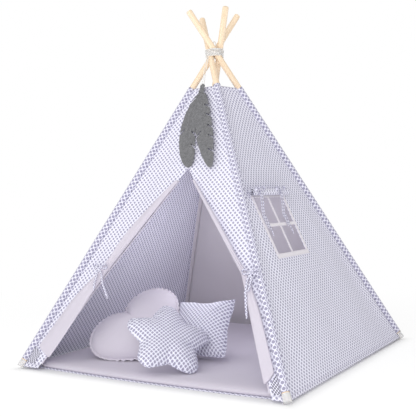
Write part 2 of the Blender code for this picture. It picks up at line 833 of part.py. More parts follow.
def smooth_route(guides, step):
    """Points about a step apart on a smooth curve through the guide points."""
    padded = [2 * guides[0] - guides[1], *guides, 2 * guides[-1] - guides[-2]]
    route = []
    for k in range(1, len(padded) - 2):
        before, a, b, after = padded[k - 1 : k + 3]
        count = max(2, round((b - a).length / step))
        for i in range(count):
            t = i / count
            place = (
                a * 2
                + (b - before) * t
                + (before * 2 - a * 5 + b * 4 - after) * t**2
                + (a * 3 - before - b * 3 + after) * t**3
            ) / 2
            route.append(place)
    route.append(guides[-1])
    return route


def cord_seat(off):
    """Where the feather cord leaves the lashing's front, this far round from the middle, and which way."""
    angle = off - math.pi / 2
    facing = Vector((math.cos(angle), math.sin(angle), 0))
    clear = lashing_clear() + LASHING_CORD / 2 / math.cos(POLES["front_left"].tilt) + SEWN_GAP
    return crossing_hull(lashing_height(1), angle, clear), facing


def make_feather_cord():
    """One cord from the lashing, through both eyelets from front to back, and up to the lashing again."""
    eyelet, right, down, outward = feather_axes()
    front = 2 * FEATHER_FELT + FEATHER_GAP
    beside = FEATHER_CORD
    seat = EYELET_DIAMETER / 2 - FEATHER_CORD / 2 - SEAT_GAP
    first, first_way = cord_seat(-CORD_SEAT_ANGLE)
    last, last_way = cord_seat(CORD_SEAT_ANGLE)
    away = 2 * FEATHER_CORD
    guides = [
        first,
        first + first_way * away - UP * FEATHER_CORD,
        eyelet + outward * (front + beside) - down * 2 * EYELET_COLLAR,
        eyelet + outward * (front + beside) - down * EYELET_COLLAR / 2,
        eyelet + outward * front - down * seat,
        eyelet + outward * front / 2 - down * seat,
        eyelet - down * seat,
        eyelet - outward * beside - down * EYELET_COLLAR / 2,
        eyelet - outward * beside - down * 2 * EYELET_COLLAR,
        last + last_way * away - UP * FEATHER_CORD,
        last,
    ]
    route = smooth_route(guides, 2.5 * FEATHER_CORD)
    cord = cord_object("feather cord", route, FEATHER_CORD, 2)
    add("feather_cord", cord, "cord", origin=(first + last) / 2)


def feather_half(share):
    for (low, a), (high, b) in zip(FEATHER_SHARES, FEATHER_SHARES[1:]):
        if low <= share <= high:
            return FEATHER_WIDTH * (a + (b - a) * (share - low) / (high - low))
    return 0


def feather_edge(side, sign, notches):
    """One edge of a feather from its top down, with a slanting cut at each notch."""
    stations = sorted({share for share, half in FEATHER_SHARES} | set(notches))
    edge = []
    length = FEATHER_LENGTH[side]
    for share in stations:
        bend = FEATHER_BEND_SHARES[side] * length * math.sin(math.pi * share)
        across = bend + sign * feather_half(share)
        if share in notches:
            cut = NOTCH_DEPTH_SHARE * FEATHER_WIDTH
            rise = NOTCH_RISE_SHARE * length
            edge.append((across, share * length - rise / 2))
            edge.append((across - sign * cut, share * length - rise))
            edge.append((across + sign * cut / 10, share * length))
        else:
            edge.append((across, share * length))
    return edge


def make_feather(side):
    eyelet, right, down, outward = feather_axes()
    turn = Matrix.Rotation(FEATHER_ANGLE[side], 3, outward)
    right = turn @ right
    down = turn @ down
    low = 0 if side == "left" else FEATHER_FELT + FEATHER_GAP
    on_right, on_left = NOTCH_SHARES[side]
    collar = FEATHER_SHARES[0][1] * FEATHER_WIDTH
    top = [(collar * math.cos(a), -collar * math.sin(a)) for a in spaced(0, math.pi, 6)][1:-1]
    tip = [(0, FEATHER_LENGTH[side])]
    outline = feather_edge(side, -1, on_left) + tip + feather_edge(side, 1, on_right)[::-1] + top
    front = [eyelet + right * x + down * y + outward * (low + FEATHER_FELT) for x, y in outline]
    back = [eyelet + right * x + down * y + outward * low for x, y in outline]
    count = len(outline)
    faces = [tuple(range(count)), tuple(reversed(range(count, 2 * count)))]
    for k in range(count):
        after = (k + 1) % count
        faces.append((after, k, k + count, after + count))
    felt = mesh_of("feather", front + back, faces)
    cut_up(felt)
    feather = add("feather_" + side, felt, "felt", origin=eyelet)

    depth = FEATHER_FELT / 2 + OVERRUN
    middle = outward * (low + FEATHER_FELT / 2)
    axes = Matrix((right, -down, outward)).transposed()
    drill_ends = [circle(EYELET_DIAMETER / 2, -depth), circle(EYELET_DIAMETER / 2, depth)]
    drill = mesh_of("drill", *lofted(drill_ends))
    cutter = add("eyelet_cutter_" + side, drill, "felt")
    cutter.matrix_world = Matrix.Translation(eyelet + middle) @ axes.to_4x4()
    cutter.hide_render = True
    cutter.display_type = "WIRE"
    cut = feather.modifiers.new("eyelet", "BOOLEAN")
    cut.operation = "DIFFERENCE"
    cut.solver = "EXACT"
    cut.object = cutter


# Mat and cushions


def mat_outline(grow):
    """A square with round corners, its front edge bowed a little forwards."""
    half = MAT_HALF + grow
    radius = MAT_CORNER + grow
    straight = half - radius
    outline = []
    for quarter, corner in enumerate(((1, 1), (-1, 1), (-1, -1), (1, -1))):
        for k in range(6):
            a = math.pi / 2 * (quarter + k / 5)
            x = corner[0] * straight + radius * math.cos(a)
            y = corner[1] * straight + radius * math.sin(a)
            outline.append((x, y))
        if corner == (-1, -1):
            outline += [(x, -half) for x in spaced(-straight, straight, 8)[1:-1]]
    bowed = []
    for x, y in outline:
        front = max(0, -y / half) ** 4
        bowed.append((x, y - MAT_FRONT_BOW * front * (1 - (x / half) ** 2)))
    return bowed


def make_mat():
    sheet = [[(x, y, z) for x, y in mat_outline(MAT_SHEET_OVERHANG)] for z in (0, MAT_SHEET_THICKNESS)]
    add("mat_underside", mesh_of("sheet", *lofted(sheet)), "print", origin=Vector((0, 0, 0)))
    low = MAT_SHEET_THICKNESS + SEAT_GAP
    edge = MAT_EDGE_ROUND
    levels = [(-edge / 2, low), (0, low + edge / 2), (0, MAT_TOP - edge)]
    levels += [(-edge / 3, MAT_TOP - edge / 3), (-edge, MAT_TOP)]
    rings = [[(x, y, z) for x, y in mat_outline(grow)] for grow, z in levels]
    pad = mesh_of("pad", *lofted(rings), smooth=math.radians(50))
    add("mat_pad", pad, "plain", origin=Vector((0, 0, 0)))


def star_outline(count=60):
    """Five plump arms with round tips."""
    spread = math.radians(36)
    inner = STAR_INNER_SHARE
    blunt = STAR_TIP_ANGLE

    def line(a):
        return inner * math.sin(spread) / (math.sin(a) + inner * math.sin(spread - a))

    outline = []
    for k in range(count):
        turn = 2 * math.pi * k / count
        off = abs((turn + spread) % (2 * spread) - spread)
        rounded = min(spread, (off**4 + blunt**4) ** 0.25)
        radius = STAR_RADIUS * line(rounded) / line(blunt)
        outline.append((radius * math.cos(turn + math.pi / 2), radius * math.sin(turn + math.pi / 2)))
    return outline


def heart_outline(count=48):
    outline = []
    for k in range(count):
        t = -2 * math.pi * k / count
        x = 16 * math.sin(t) ** 3
        y = 13 * math.cos(t) - 5 * math.cos(2 * t) - 2 * math.cos(3 * t) - math.cos(4 * t)
        outline.append((x / 32 * HEART_WIDTH, y / 32 * HEART_WIDTH))
    return outline


def square_outline(count=48):
    """A square whose sides are drawn in between its corners."""
    outline = []
    for k in range(count):
        turn = 2 * math.pi * k / count
        off = (turn + math.pi / 4) % (math.pi / 2) - math.pi / 4
        radius = SQUARE_SIDE / 2 / math.cos(off) * (1 - SQUARE_DRAWN_IN_SHARE * math.cos(2 * off) ** 2)
        outline.append((radius * math.cos(turn), radius * math.sin(turn)))
    return outline


def make_cushion(name, outline, thickness, place, angles, finish):
    """A stuffed shape that swells from its seam to its middle, standing on the mat."""
    rings = []
    shares = [(k / CUSHION_RINGS) ** RING_POWER_SHARE for k in range(1, CUSHION_RINGS + 1)]
    levels = [(s, -1) for s in shares] + [(s, 1) for s in shares[-2::-1]]
    near, far = CROWN_POWER_SHARES
    for share, side in levels:
        height = side * thickness / 2 * max(0, 1 - share**near) ** far
        rings.append([Vector((x * share, y * share, height)) for x, y in outline])
    facing, rise, roll = (math.radians(a) for a in angles)
    normal = Vector((math.sin(facing) * math.cos(rise), -math.cos(facing) * math.cos(rise), math.sin(rise)))
    right = UP.cross(normal).normalized()
    upward = normal.cross(right)
    axes = Matrix((right, upward, normal)).transposed() @ Matrix.Rotation(roll, 3, "Z")
    rings = [[axes @ p for p in ring] for ring in rings]
    lowest = min(p.z for ring in rings for p in ring)
    centre = Vector((place[0] * MAT_HALF, place[1] * MAT_HALF, MAT_TOP + SEAT_GAP - lowest))
    stuffed = mesh_of(name, *lofted(rings), smooth=math.radians(60))
    obj = add("cushion_" + name, stuffed, finish)
    obj.location = centre


def build():
    for old in list(bpy.data.objects):
        bpy.data.objects.remove(old, do_unlink=True)
    for name, pole in POLES.items():
        make_leg(name, pole)
    make_plain_wall("back", "plain")
    make_plain_wall("left", "print")
    make_front_wall()
    make_right_wall()
    for side in ("left", "right"):
        make_door_edge(side)
        make_door_flap(side)
        make_door_tie(side)
        make_tuck(side)
    make_window_frame()
    make_window_crossbars()
    make_window_blind()
    make_window_tie("front")
    make_window_tie("back")
    make_lashing()
    make_lashing_loop()
    make_feather_cord()
    make_feather("left")
    make_feather("right")
    make_mat()
    make_cushion("star", star_outline(), STAR_THICKNESS, STAR_PLACE_SHARES, STAR_FACING, "print")
    make_cushion("heart", heart_outline(), HEART_THICKNESS, HEART_PLACE_SHARES, HEART_FACING, "plain")
    make_cushion("square", square_outline(), SQUARE_THICKNESS, SQUARE_PLACE_SHARES, SQUARE_FACING, "print")


build()
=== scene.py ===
"""Looks of a child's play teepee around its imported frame.

Metres, +Z up, the doorway faces -Y and the window faces +X. The origin is on the floor under the crossing.
"""

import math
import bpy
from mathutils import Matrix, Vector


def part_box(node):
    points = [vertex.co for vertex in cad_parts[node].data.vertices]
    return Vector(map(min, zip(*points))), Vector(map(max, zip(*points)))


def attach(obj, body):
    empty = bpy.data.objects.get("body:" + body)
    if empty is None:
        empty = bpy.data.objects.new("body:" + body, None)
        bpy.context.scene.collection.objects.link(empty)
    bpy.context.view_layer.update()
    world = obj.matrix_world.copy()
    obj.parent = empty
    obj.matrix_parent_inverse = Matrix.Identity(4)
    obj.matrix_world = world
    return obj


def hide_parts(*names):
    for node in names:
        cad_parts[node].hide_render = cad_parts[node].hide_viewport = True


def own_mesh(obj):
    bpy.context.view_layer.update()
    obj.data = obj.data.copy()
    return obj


bl_info = {
    "name": "Play teepee",
    "version": (1, 0, 0),
    "blender": (4, 5, 0),
    "location": "View3D > Sidebar > Teepee",
    "description": "Poles, sewn cover, doorway, window, feathers, mat and cushions of a child's play teepee",
    "category": "Object",
}

import bmesh
import bpy
from mathutils import Matrix, Vector, noise
from mathutils.geometry import delaunay_2d_cdt

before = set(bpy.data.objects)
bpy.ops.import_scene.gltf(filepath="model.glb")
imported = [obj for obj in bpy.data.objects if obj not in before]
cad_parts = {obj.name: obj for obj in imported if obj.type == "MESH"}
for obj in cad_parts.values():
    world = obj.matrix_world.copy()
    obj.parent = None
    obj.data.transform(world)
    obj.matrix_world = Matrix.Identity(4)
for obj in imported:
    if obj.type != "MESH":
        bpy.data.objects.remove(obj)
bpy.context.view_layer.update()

# Frame of poles
FOOT_SPACING = 1.2
CROSSING_HEIGHT = 1.285
POLE_DIAMETER = 0.026
CROSSING_GAP = 0.0012
POLE_RADIUS = POLE_DIAMETER / 2
SLEEVE_FABRIC = 0.0018
SLEEVE_FIT = 0.0006
SLEEVE_BOTTOM = 0.037
SLEEVE_RADIUS = POLE_RADIUS + SLEEVE_FIT + SLEEVE_FABRIC

# Cover
COVER_TOP_DROP = 0.150
COVER_TOP = CROSSING_HEIGHT - COVER_TOP_DROP
HEM_HEIGHT = 0.026
WALL_FABRIC = 0.002
CLOTH = 0.0012
SEAM_GAP = 0.0004
SEWN_GAP = 0.0007

# Doorway
DOOR_APEX_HEIGHT = 0.793
DOOR_TIE_HEIGHT = 0.392
DOOR_CORNER_STRIP = {"left": 0.078, "right": 0.040}
DOOR_TIE_STRIP = {"left": 0.1335, "right": 0.0430}
DOOR_EDGE_WIDTH = 0.007
DOOR_EDGE_THICKNESS = 0.004
FLAP_WIDTH = {"left": 0.068, "right": 0.036}
FLAP_THICKNESS = {"left": 0.022, "right": 0.024}
FLAP_TOP_DROP = 0.052
FLAP_TOP = DOOR_APEX_HEIGHT - FLAP_TOP_DROP
FLAP_BOTTOM_RISE = 0.022
FLAP_BOTTOM = HEM_HEIGHT + FLAP_BOTTOM_RISE
FLAP_CORNER_LIFT = 0.040
FLAP_PINCH_SHARE = 0.52
FLAP_PINCH_LENGTH = 0.075
FLAP_FILL_SHARE = 2.2
FLAP_TOP_SHARE = 0.12
FLAP_FLAT_SHARE = 0.35
FLAP_PINCH_FLAT_SHARE = 0.25
DOOR_TAILS = {"left": (0.085, 0.110), "right": (0.060, 0.142)}
DOOR_TIE_SHIFT = {"left": 0.012, "right": 0.026}
DOOR_TAIL_SPREAD = {"left": 0.055, "right": -0.010}
DOOR_TAIL_FREE = {"left": 0.062, "right": 0.068}
TUCK_WIDTH = {"left": 0.046, "right": 0.030}
TUCK_THICKNESS = 0.003
TUCK_DROP = 0.006
FLAP_OVER_EDGE = 0.0078
FLAP_OVER_EDGE_RISE = 0.0028
FLAP_FAN = {"left": 0.018, "right": 0.006}
FLAP_SLIM_SHARE = {"left": 0.26, "right": 0.46}

# Bows
BOW_LOOP_LENGTH = 0.034
BOW_LOOP_WIDTH = 0.020
BOW_TAIL_WIDTH = 0.009
BOW_THICKNESS = 0.006
BOW_LOOP_RIBBON = 0.0095
BOW_KNOT_WIDTH = 0.012

# Window
WINDOW_WIDTH = 0.242
WINDOW_HEIGHT = 0.214
WINDOW_SILL_SHARE = 0.3518
WINDOW_SILL = WINDOW_SILL_SHARE * CROSSING_HEIGHT
WINDOW_OFFSET = 0.094
WINDOW_TAPE = 0.017
WINDOW_BAR = 0.013
WINDOW_TAPE_THICKNESS = 0.0016
BLIND_DIAMETER = 0.029
BLIND_OVERHANG = {"front": 0.022, "back": 0.020}
BLIND_RISE = 0.012
BLIND_SAG = 0.0098
BLIND_FULLNESS = 0.0028
WINDOW_TIE_INSET = {"front": 0.012, "back": 0.062}
WINDOW_TAILS = (0.135, 0.165)

# Lashing and cord
LASHING_CORD = 0.0045
LASHING_TURNS = 6
LASHING_TURN_GAP = 0.0008
LASHING_FIT = 0.0005
LOOP_HEIGHT = 0.052
LOOP_WIDTH = 0.020
LOOP_CORD = 0.0035
FEATHER_CORD = 0.0026
CORD_SEAT_ANGLE = math.radians(8)
CORD_EASE = (0.006, 0.014, 0.030)

# Feathers
FEATHER_LENGTH = {"left": 0.379, "right": 0.413}
FEATHER_WIDTH = 0.080
FEATHER_FELT = 0.003
FEATHER_GAP = 0.0010
FEATHER_STANDOFF = 0.0135
FEATHER_TILT_IN = math.radians(1.1)
FEATHER_YAW = math.radians(5.0)
FEATHER_ANGLE = {"left": math.radians(2.8), "right": math.radians(18.9)}
FEATHER_TAPER_SHARE = {"left": 0.0, "right": 0.36}
FEATHER_SHARES = (
    (0.00, 0.13),
    (0.05, 0.12),
    (0.08, 0.09),
    (0.13, 0.25),
    (0.20, 0.34),
    (0.34, 0.44),
    (0.50, 0.49),
    (0.66, 0.50),
    (0.80, 0.47),
    (0.90, 0.38),
    (0.96, 0.25),
    (0.99, 0.10),
)
NOTCH_SHARES = {
    "left": ((0.62, 0.78), (0.20, 0.58)),
    "right": ((0.30, 0.42, 0.56, 0.68, 0.84), (0.60,)),
}
NOTCH_DEPTH_SHARE = 0.28
NOTCH_MOUTH = 0.0125
NOTCH_END = 0.0065
NOTCH_RISE_SHARE = 0.068
FEATHER_BEND_SHARES = {"left": -0.10, "right": -0.03}
EYELET_DIAMETER = 0.0075
EYELET_COLLAR = 0.009
EYELET_OFFSET = 0.010
EYELET_DROP = 0.004

# Mat and cushions
MAT_INSET = 0.050
MAT_CORNER = 0.040
MAT_FRONT_BOW = 0.022
MAT_PAD_THICKNESS = 0.026
MAT_SHEET_THICKNESS = 0.003
SEAT_GAP = 0.0004
MAT_HALF = FOOT_SPACING / 2 - MAT_INSET
MAT_TOP = MAT_SHEET_THICKNESS + SEAT_GAP + MAT_PAD_THICKNESS
STAR_RADIUS = 0.163
STAR_THICKNESS = 0.090
HEART_WIDTH = 0.398
HEART_THICKNESS = 0.125
SQUARE_SIDE = 0.250
SQUARE_THICKNESS = 0.115
STAR_INNER_SHARE = 0.54
STAR_TIP_ANGLE = 0.16
SQUARE_DRAWN_IN_SHARE = 0.09
HEART_CLEFT_FILL = 3.4
CROWN_POWER_SHARES = (2.3, 0.6)
STAR_PLACE_SHARES = (0.058, -0.815)
HEART_PLACE_SHARES = (-0.375, -0.550)
SQUARE_PLACE_SHARES = (0.060, -0.385)
STAR_FACING = (58, 47, -19)
HEART_FACING = (18, 45, 47)
SQUARE_FACING = (2, 37, 6)

# The photograph's camera
CAMERA_PLACE = (1.6407, -2.7497, 0.6848)
CAMERA_YAW = 0.5522
CAMERA_PITCH = -0.0190
CAMERA_ROLL = -0.0263
CAMERA_LENS_MM = 64.355
SENSOR_MM = 36

UP = Vector((0, 0, 1))
CORNERS = {"front_left": (-1, -1), "front_right": (1, -1), "back_right": (1, 1), "back_left": (-1, 1)}


def smooth(share):
    """A smooth step from 0 at 0 to 1 at 1."""
    share = min(1, max(0, share))
    return share * share * (3 - 2 * share)


def spaced(low, high, count):
    return [low + (high - low) * k / count for k in range(count + 1)]


def stations(marks, counts):
    """Evenly spaced places from mark to mark, with this many steps between each two marks."""
    places = [marks[0]]
    for low, high, count in zip(marks, marks[1:], counts):
        places += spaced(low, high, count)[1:]
    return places


def wander(x, y, seed):
    """Smooth noise about -1 to 1 that is the same on each run."""
    return noise.noise(Vector((x, y, seed)))


def through(guides, count=None, pitch=None):
    """Points on a smooth curve through the guides: this many for each stretch, or about this far apart."""
    padded = [2 * guides[0] - guides[1], *guides, 2 * guides[-1] - guides[-2]]
    route = []
    for before, a, b, after in zip(padded, padded[1:], padded[2:], padded[3:]):
        steps = count or max(4, round((b - a).length / pitch))
        for i in range(steps):
            t = i / steps
            second = before * 2 - a * 5 + b * 4 - after
            third = a * 3 - before - b * 3 + after
            route.append((a * 2 + (b - before) * t + second * t**2 + third * t**3) / 2)
    return route + [guides[-1]]


def turns(count):
    """This many angles, evenly round a circle."""
    return [2 * math.pi * k / count for k in range(count)]


# Where the poles and the walls run


class Pole:
    """One pole's axis, which passes the crossing's middle at the waist radius."""

    def __init__(self, corner):
        reach = Vector((corner[0] * FOOT_SPACING / 2, corner[1] * FOOT_SPACING / 2, 0))
        lean = math.atan2(reach.length, CROSSING_HEIGHT)
        spread = math.sqrt(math.cos(lean) ** 2 + math.sin(lean) ** 2 / 2)
        side = math.sqrt(2) * math.cos(lean) / spread
        self.waist_radius = (POLE_DIAMETER + CROSSING_GAP) / side
        self.run = math.sqrt(reach.length**2 - self.waist_radius**2)
        turn = math.atan2(self.waist_radius, self.run)
        self.outward = Matrix.Rotation(turn, 3, "Z") @ reach.normalized()
        self.tangent = UP.cross(self.outward)
        self.waist = UP * CROSSING_HEIGHT - self.tangent * self.waist_radius
        self.tilt = math.atan2(self.run, CROSSING_HEIGHT)
        self.direction = UP * math.cos(self.tilt) - self.outward * math.sin(self.tilt)

    def at(self, height):
        return self.waist + self.direction * ((height - CROSSING_HEIGHT) / math.cos(self.tilt))

    def around(self, height, radius, angle):
        """A point beside the axis, at this angle round it from the way out of the tent."""
        across = self.tangent.cross(self.direction)
        away = across * math.cos(angle) + self.tangent * math.sin(angle)
        return self.at(height) + away * radius


POLES = {name: Pole(corner) for name, corner in CORNERS.items()}


class Wall:
    """The sheet between two neighbouring poles, seen from outside with across running to the right."""

    def __init__(self, start, end):
        self.start = POLES[start]
        self.end = POLES[end]
        self.across = (Vector((*CORNERS[end], 0)) - Vector((*CORNERS[start], 0))) / 2
        level = self.across.cross(UP)
        self.lean = math.atan2(FOOT_SPACING / 2, CROSSING_HEIGHT)
        self.out = level * math.cos(self.lean) + UP * math.sin(self.lean)

    def ends(self, height):
        a = self.start.at(height)
        b = self.end.at(height)
        way = (b - a).normalized()
        places = []
        for pole, point, sign in ((self.start, a, 1), (self.end, b, -1)):
            slant = math.sqrt(1 - pole.direction.dot(way) ** 2)
            places.append((point + way * sign * (SLEEVE_RADIUS + SEAM_GAP) / slant).dot(self.across))
        return places

    def at(self, across, height, out=0):
        a = self.start.at(height)
        b = self.end.at(height)
        share = (across - a.dot(self.across)) / (b - a).dot(self.across)
        return a + (b - a) * share + self.out * out

    def flat(self, across, height):
        """Metres across and up along the cloth, for its print."""
        return across, height / math.cos(self.lean)


WALL_CORNERS = {
    "front": ("front_left", "front_right"),
    "right": ("front_right", "back_right"),
    "back": ("back_right", "back_left"),
    "left": ("back_left", "front_left"),
}
WALLS = {name: Wall(*corners) for name, corners in WALL_CORNERS.items()}


def sign_of(side):
    return -1 if side == "left" else 1


def door_edge_place(side, height):
    """Where the doorway's edge is at this height."""
    wall = WALLS["front"]
    ends = wall.ends(height)
    apex_ends = wall.ends(DOOR_APEX_HEIGHT)
    end, full = (ends[0], -apex_ends[0]) if side == "left" else (ends[1], apex_ends[1])
    corner = DOOR_CORNER_STRIP[side]
    tie = DOOR_TIE_STRIP[side]
    if height < DOOR_TIE_HEIGHT:
        strip = corner + (tie - corner) * (height - HEM_HEIGHT) / (DOOR_TIE_HEIGHT - HEM_HEIGHT)
    else:
        strip = tie + (full - tie) * (height - DOOR_TIE_HEIGHT) / (DOOR_APEX_HEIGHT - DOOR_TIE_HEIGHT)
    return end - sign_of(side) * strip


def flap_section(side, height):
    """Centre across, half width and half thickness of the rolled flap at this height."""
    fall = (FLAP_TOP - height) / (FLAP_TOP - FLAP_BOTTOM)
    swell = math.sin(min(1, fall * FLAP_FILL_SHARE + FLAP_TOP_SHARE) * math.pi / 2)
    pinch = math.exp(-(((height - DOOR_TIE_HEIGHT) / FLAP_PINCH_LENGTH) ** 2))
    waist = 1 - (1 - FLAP_PINCH_SHARE) * pinch
    half_width = FLAP_WIDTH[side] / 2 * swell * waist
    fullness = FLAP_FLAT_SHARE + (1 - FLAP_FLAT_SHARE) * swell
    fullness *= 1 - FLAP_PINCH_FLAT_SHARE * (1 - waist)
    half_thickness = FLAP_THICKNESS[side] / 2 * fullness
    edge = door_edge_place(side, height)
    return edge + sign_of(side) * half_width, half_width, half_thickness


def window_sides():
    left = -WINDOW_OFFSET - WINDOW_WIDTH / 2
    return left, left + WINDOW_WIDTH, WINDOW_SILL, WINDOW_SILL + WINDOW_HEIGHT


def blind_height():
    return window_sides()[3] + BLIND_RISE + BLIND_DIAMETER / 2 * math.cos(WALLS["right"].lean)


# Meshes


JOIN_DISTANCE = 0.00001


def new_object(name, data):
    obj = bpy.data.objects.new(name, data)
    bpy.context.scene.collection.objects.link(obj)
    return obj


def add_piece(name, points, faces, finish, corners=None, shade=True):
    """A mesh object whose print lies as its corners say: a pair of metres for each corner of each face."""
    mesh = bpy.data.meshes.new(name)
    mesh.from_pydata([tuple(p) for p in points], [], faces)
    if corners:
        layer = mesh.uv_layers.new(name="print")
        flat = [value for face in corners for pair in face for value in pair]
        layer.data.foreach_set("uv", flat)
    if shade:
        mesh.shade_smooth()
    mesh.materials.append(finish)
    return new_object(name, mesh)


def grid_faces(width, height, closed=False, keep=None):
    """Faces of a grid of rows, bottom row first. A closed grid joins each row's end to its start."""
    faces = []
    for r in range(height - 1):
        for c in range(width if closed else width - 1):
            if keep is None or keep(r, c):
                after = (c + 1) % width
                low = r * width
                faces.append((low + c, low + after, low + width + after, low + width + c))
    return faces


def loft(rings, closed=True, capped=True):
    """Points, faces and print corners of a surface through rings of equal counts."""
    width = len(rings[0])
    middle = rings[len(rings) // 2]
    around = [0]
    for k in range(width):
        around.append(around[-1] + (middle[(k + 1) % width] - middle[k]).length)
    along = [0]
    for low, high in zip(rings, rings[1:]):
        along.append(along[-1] + sum((b - a).length for a, b in zip(low, high)) / width)
    points = [p for ring in rings for p in ring]
    faces = grid_faces(width, len(rings), closed)
    corners = []
    for face in faces:
        r, c = divmod(face[0], width)
        places = ((c, r), (c + 1, r), (c + 1, r + 1), (c, r + 1))
        corners.append([(around[i], along[j]) for i, j in places])
    if capped:
        for row, turned in ((0, True), (len(rings) - 1, False)):
            cap = [row * width + k for k in range(width)]
            flat = [(around[k], along[row]) for k in range(width)]
            faces.append(tuple(reversed(cap)) if turned else tuple(cap))
            corners.append(flat[::-1] if turned else flat)
    return points, faces, corners


def joined_middle(obj):
    """Joins points that lie on each other, as where a cloth's halves or a tube's ends meet."""
    work = bmesh.new()
    work.from_mesh(obj.data)
    bmesh.ops.remove_doubles(work, verts=work.verts, dist=JOIN_DISTANCE)
    work.to_mesh(obj.data)
    work.free()
    return obj


def add_loft(name, rings, finish, capped=True):
    """A piece whose skin runs through the rings. Without caps its last ring lies on its first one."""
    points, faces, corners = loft(rings, capped=capped)
    obj = add_piece(name, points, faces, finish, corners)
    return obj if capped else joined_middle(obj)


def soften_edges(obj, width, angle=math.radians(30)):
    edge = obj.modifiers.new("soft edge", "BEVEL")
    edge.width = width
    edge.segments = 2
    edge.limit_method = "ANGLE"
    edge.angle_limit = angle


def lay(obj, thickness, offset=0):
    """Gives a sheet of cloth its thickness."""
    thick = obj.modifiers.new("cloth thickness", "SOLIDIFY")
    thick.thickness = thickness
    thick.offset = offset
    thick.use_even_offset = True
    return obj


def finish_modifiers(obj):
    """Applies the modifiers, so that the mesh is final."""
    bpy.context.view_layer.update()
    graph = bpy.context.evaluated_depsgraph_get()
    done = bpy.data.meshes.new_from_object(obj.evaluated_get(graph))
    obj.modifiers.clear()
    obj.data = done
    return obj


def ribbon(path, sides, width, thickness):
    """Rings of a soft flat strip along the path. The sides point across it."""
    rings = []
    count = len(path)
    for k, (place, side) in enumerate(zip(path, sides)):
        way = (path[min(k + 1, count - 1)] - path[max(k - 1, 0)]).normalized()
        across = (side - way * side.dot(way)).normalized()
        normal = way.cross(across)
        broad = width[k] if isinstance(width, list) else width
        deep = thickness[k] if isinstance(thickness, list) else thickness
        ring = []
        for a in turns(12):
            x = math.copysign(abs(math.cos(a)) ** 0.7, math.cos(a))
            y = math.copysign(abs(math.sin(a)) ** 0.7, math.sin(a))
            ring.append(place + across * x * broad / 2 + normal * y * deep / 2)
        rings.append(ring)
    return rings


def tube(path, radius, sides=12, closed=False):
    """Rings of a round cord along the path, without twist."""
    rings = []
    count = len(path)
    side = None
    for k, place in enumerate(path):
        after = path[(k + 1) % count] if closed else path[min(k + 1, count - 1)]
        before = path[k - 1] if closed or k else path[0]
        way = (after - before).normalized()
        if side is None:
            side = way.orthogonal()
        side = (side - way * side.dot(way)).normalized()
        other = way.cross(side)
        rings.append([place + (side * math.cos(a) + other * math.sin(a)) * radius for a in turns(sides)])
    if closed:
        rings.append(rings[0])
    return rings


# Shader node groups


def srgb(red, green, blue):
    """A display colour of 0 to 255 as the linear values that shaders take."""
    shares = [value / 255 for value in (red, green, blue)]
    line = [s / 12.92 if s <= 0.04045 else ((s + 0.055) / 1.055) ** 2.4 for s in shares]
    return (*line, 1)


class Wiring:
    """Adds nodes to one tree and joins them by name."""

    def __init__(self, tree):
        self.tree = tree

    def node(self, kind, values=None, **settings):
        made = self.tree.nodes.new(kind)
        for name, value in settings.items():
            setattr(made, name, value)
        for socket, value in (values or {}).items():
            self.feed(made.inputs[socket], value)
        return made

    def feed(self, socket, value):
        if isinstance(value, bpy.types.NodeSocket):
            self.tree.links.new(value, socket)
        else:
            socket.default_value = value

    def math(self, operation, *values):
        return self.node("ShaderNodeMath", dict(enumerate(values)), operation=operation).outputs[0]

    def blend(self, share, low, high):
        return self.node("ShaderNodeMix", {0: share, 6: low, 7: high}, data_type="RGBA").outputs[2]

    def step(self, value, low, high):
        """Rises smoothly from 0 to 1 between two values."""
        values = {0: value, 1: low, 2: high}
        return self.node("ShaderNodeMapRange", values, interpolation_type="SMOOTHSTEP").outputs[0]

    def times(self, first, second):
        return self.math("MULTIPLY", first, second)

    def over(self, first, second):
        return self.math("DIVIDE", first, second)

    def minus(self, first, second):
        return self.math("SUBTRACT", first, second)

    def power(self, base, exponent):
        return self.math("POWER", base, exponent)

    def plus(self, base, value, share=None):
        """The base with the value, or with this share of it, added."""
        return self.math("ADD", base, value if share is None else self.times(value, share))

    def cloud(self, place, scale, detail=2.0, distortion=0.0):
        values = {"Vector": place, "Scale": scale, "Detail": detail, "Distortion": distortion}
        return self.node("ShaderNodeTexNoise", values).outputs[0]


def lattice_print(wiring, given):
    """White lines that cross on the slant, with a soft dot in each cell between them."""
    split = wiring.node("ShaderNodeSeparateXYZ", {0: given["Place"]})
    powered = []
    for operation in ("ADD", "SUBTRACT"):
        slant = wiring.over(wiring.math(operation, *split.outputs[:2]), given["Cell"])
        part = wiring.minus(wiring.math("FRACT", slant), 0.5)
        powered.append(wiring.power(wiring.math("ABSOLUTE", part), 3.0))
    reach = wiring.power(wiring.plus(*powered), 1 / 3)
    low = wiring.minus(given["Dot Size"], given["Softness"])
    high = wiring.plus(given["Dot Size"], given["Softness"])
    dots = wiring.minus(1.0, wiring.step(reach, low, high))
    patchy = wiring.times(wiring.cloud(given["Place"], 900.0, 3.0), given["Unevenness"])
    inked = wiring.minus(dots, wiring.times(patchy, dots))
    return {"Color": wiring.blend(inked, given["Ground"], given["Dot"])}


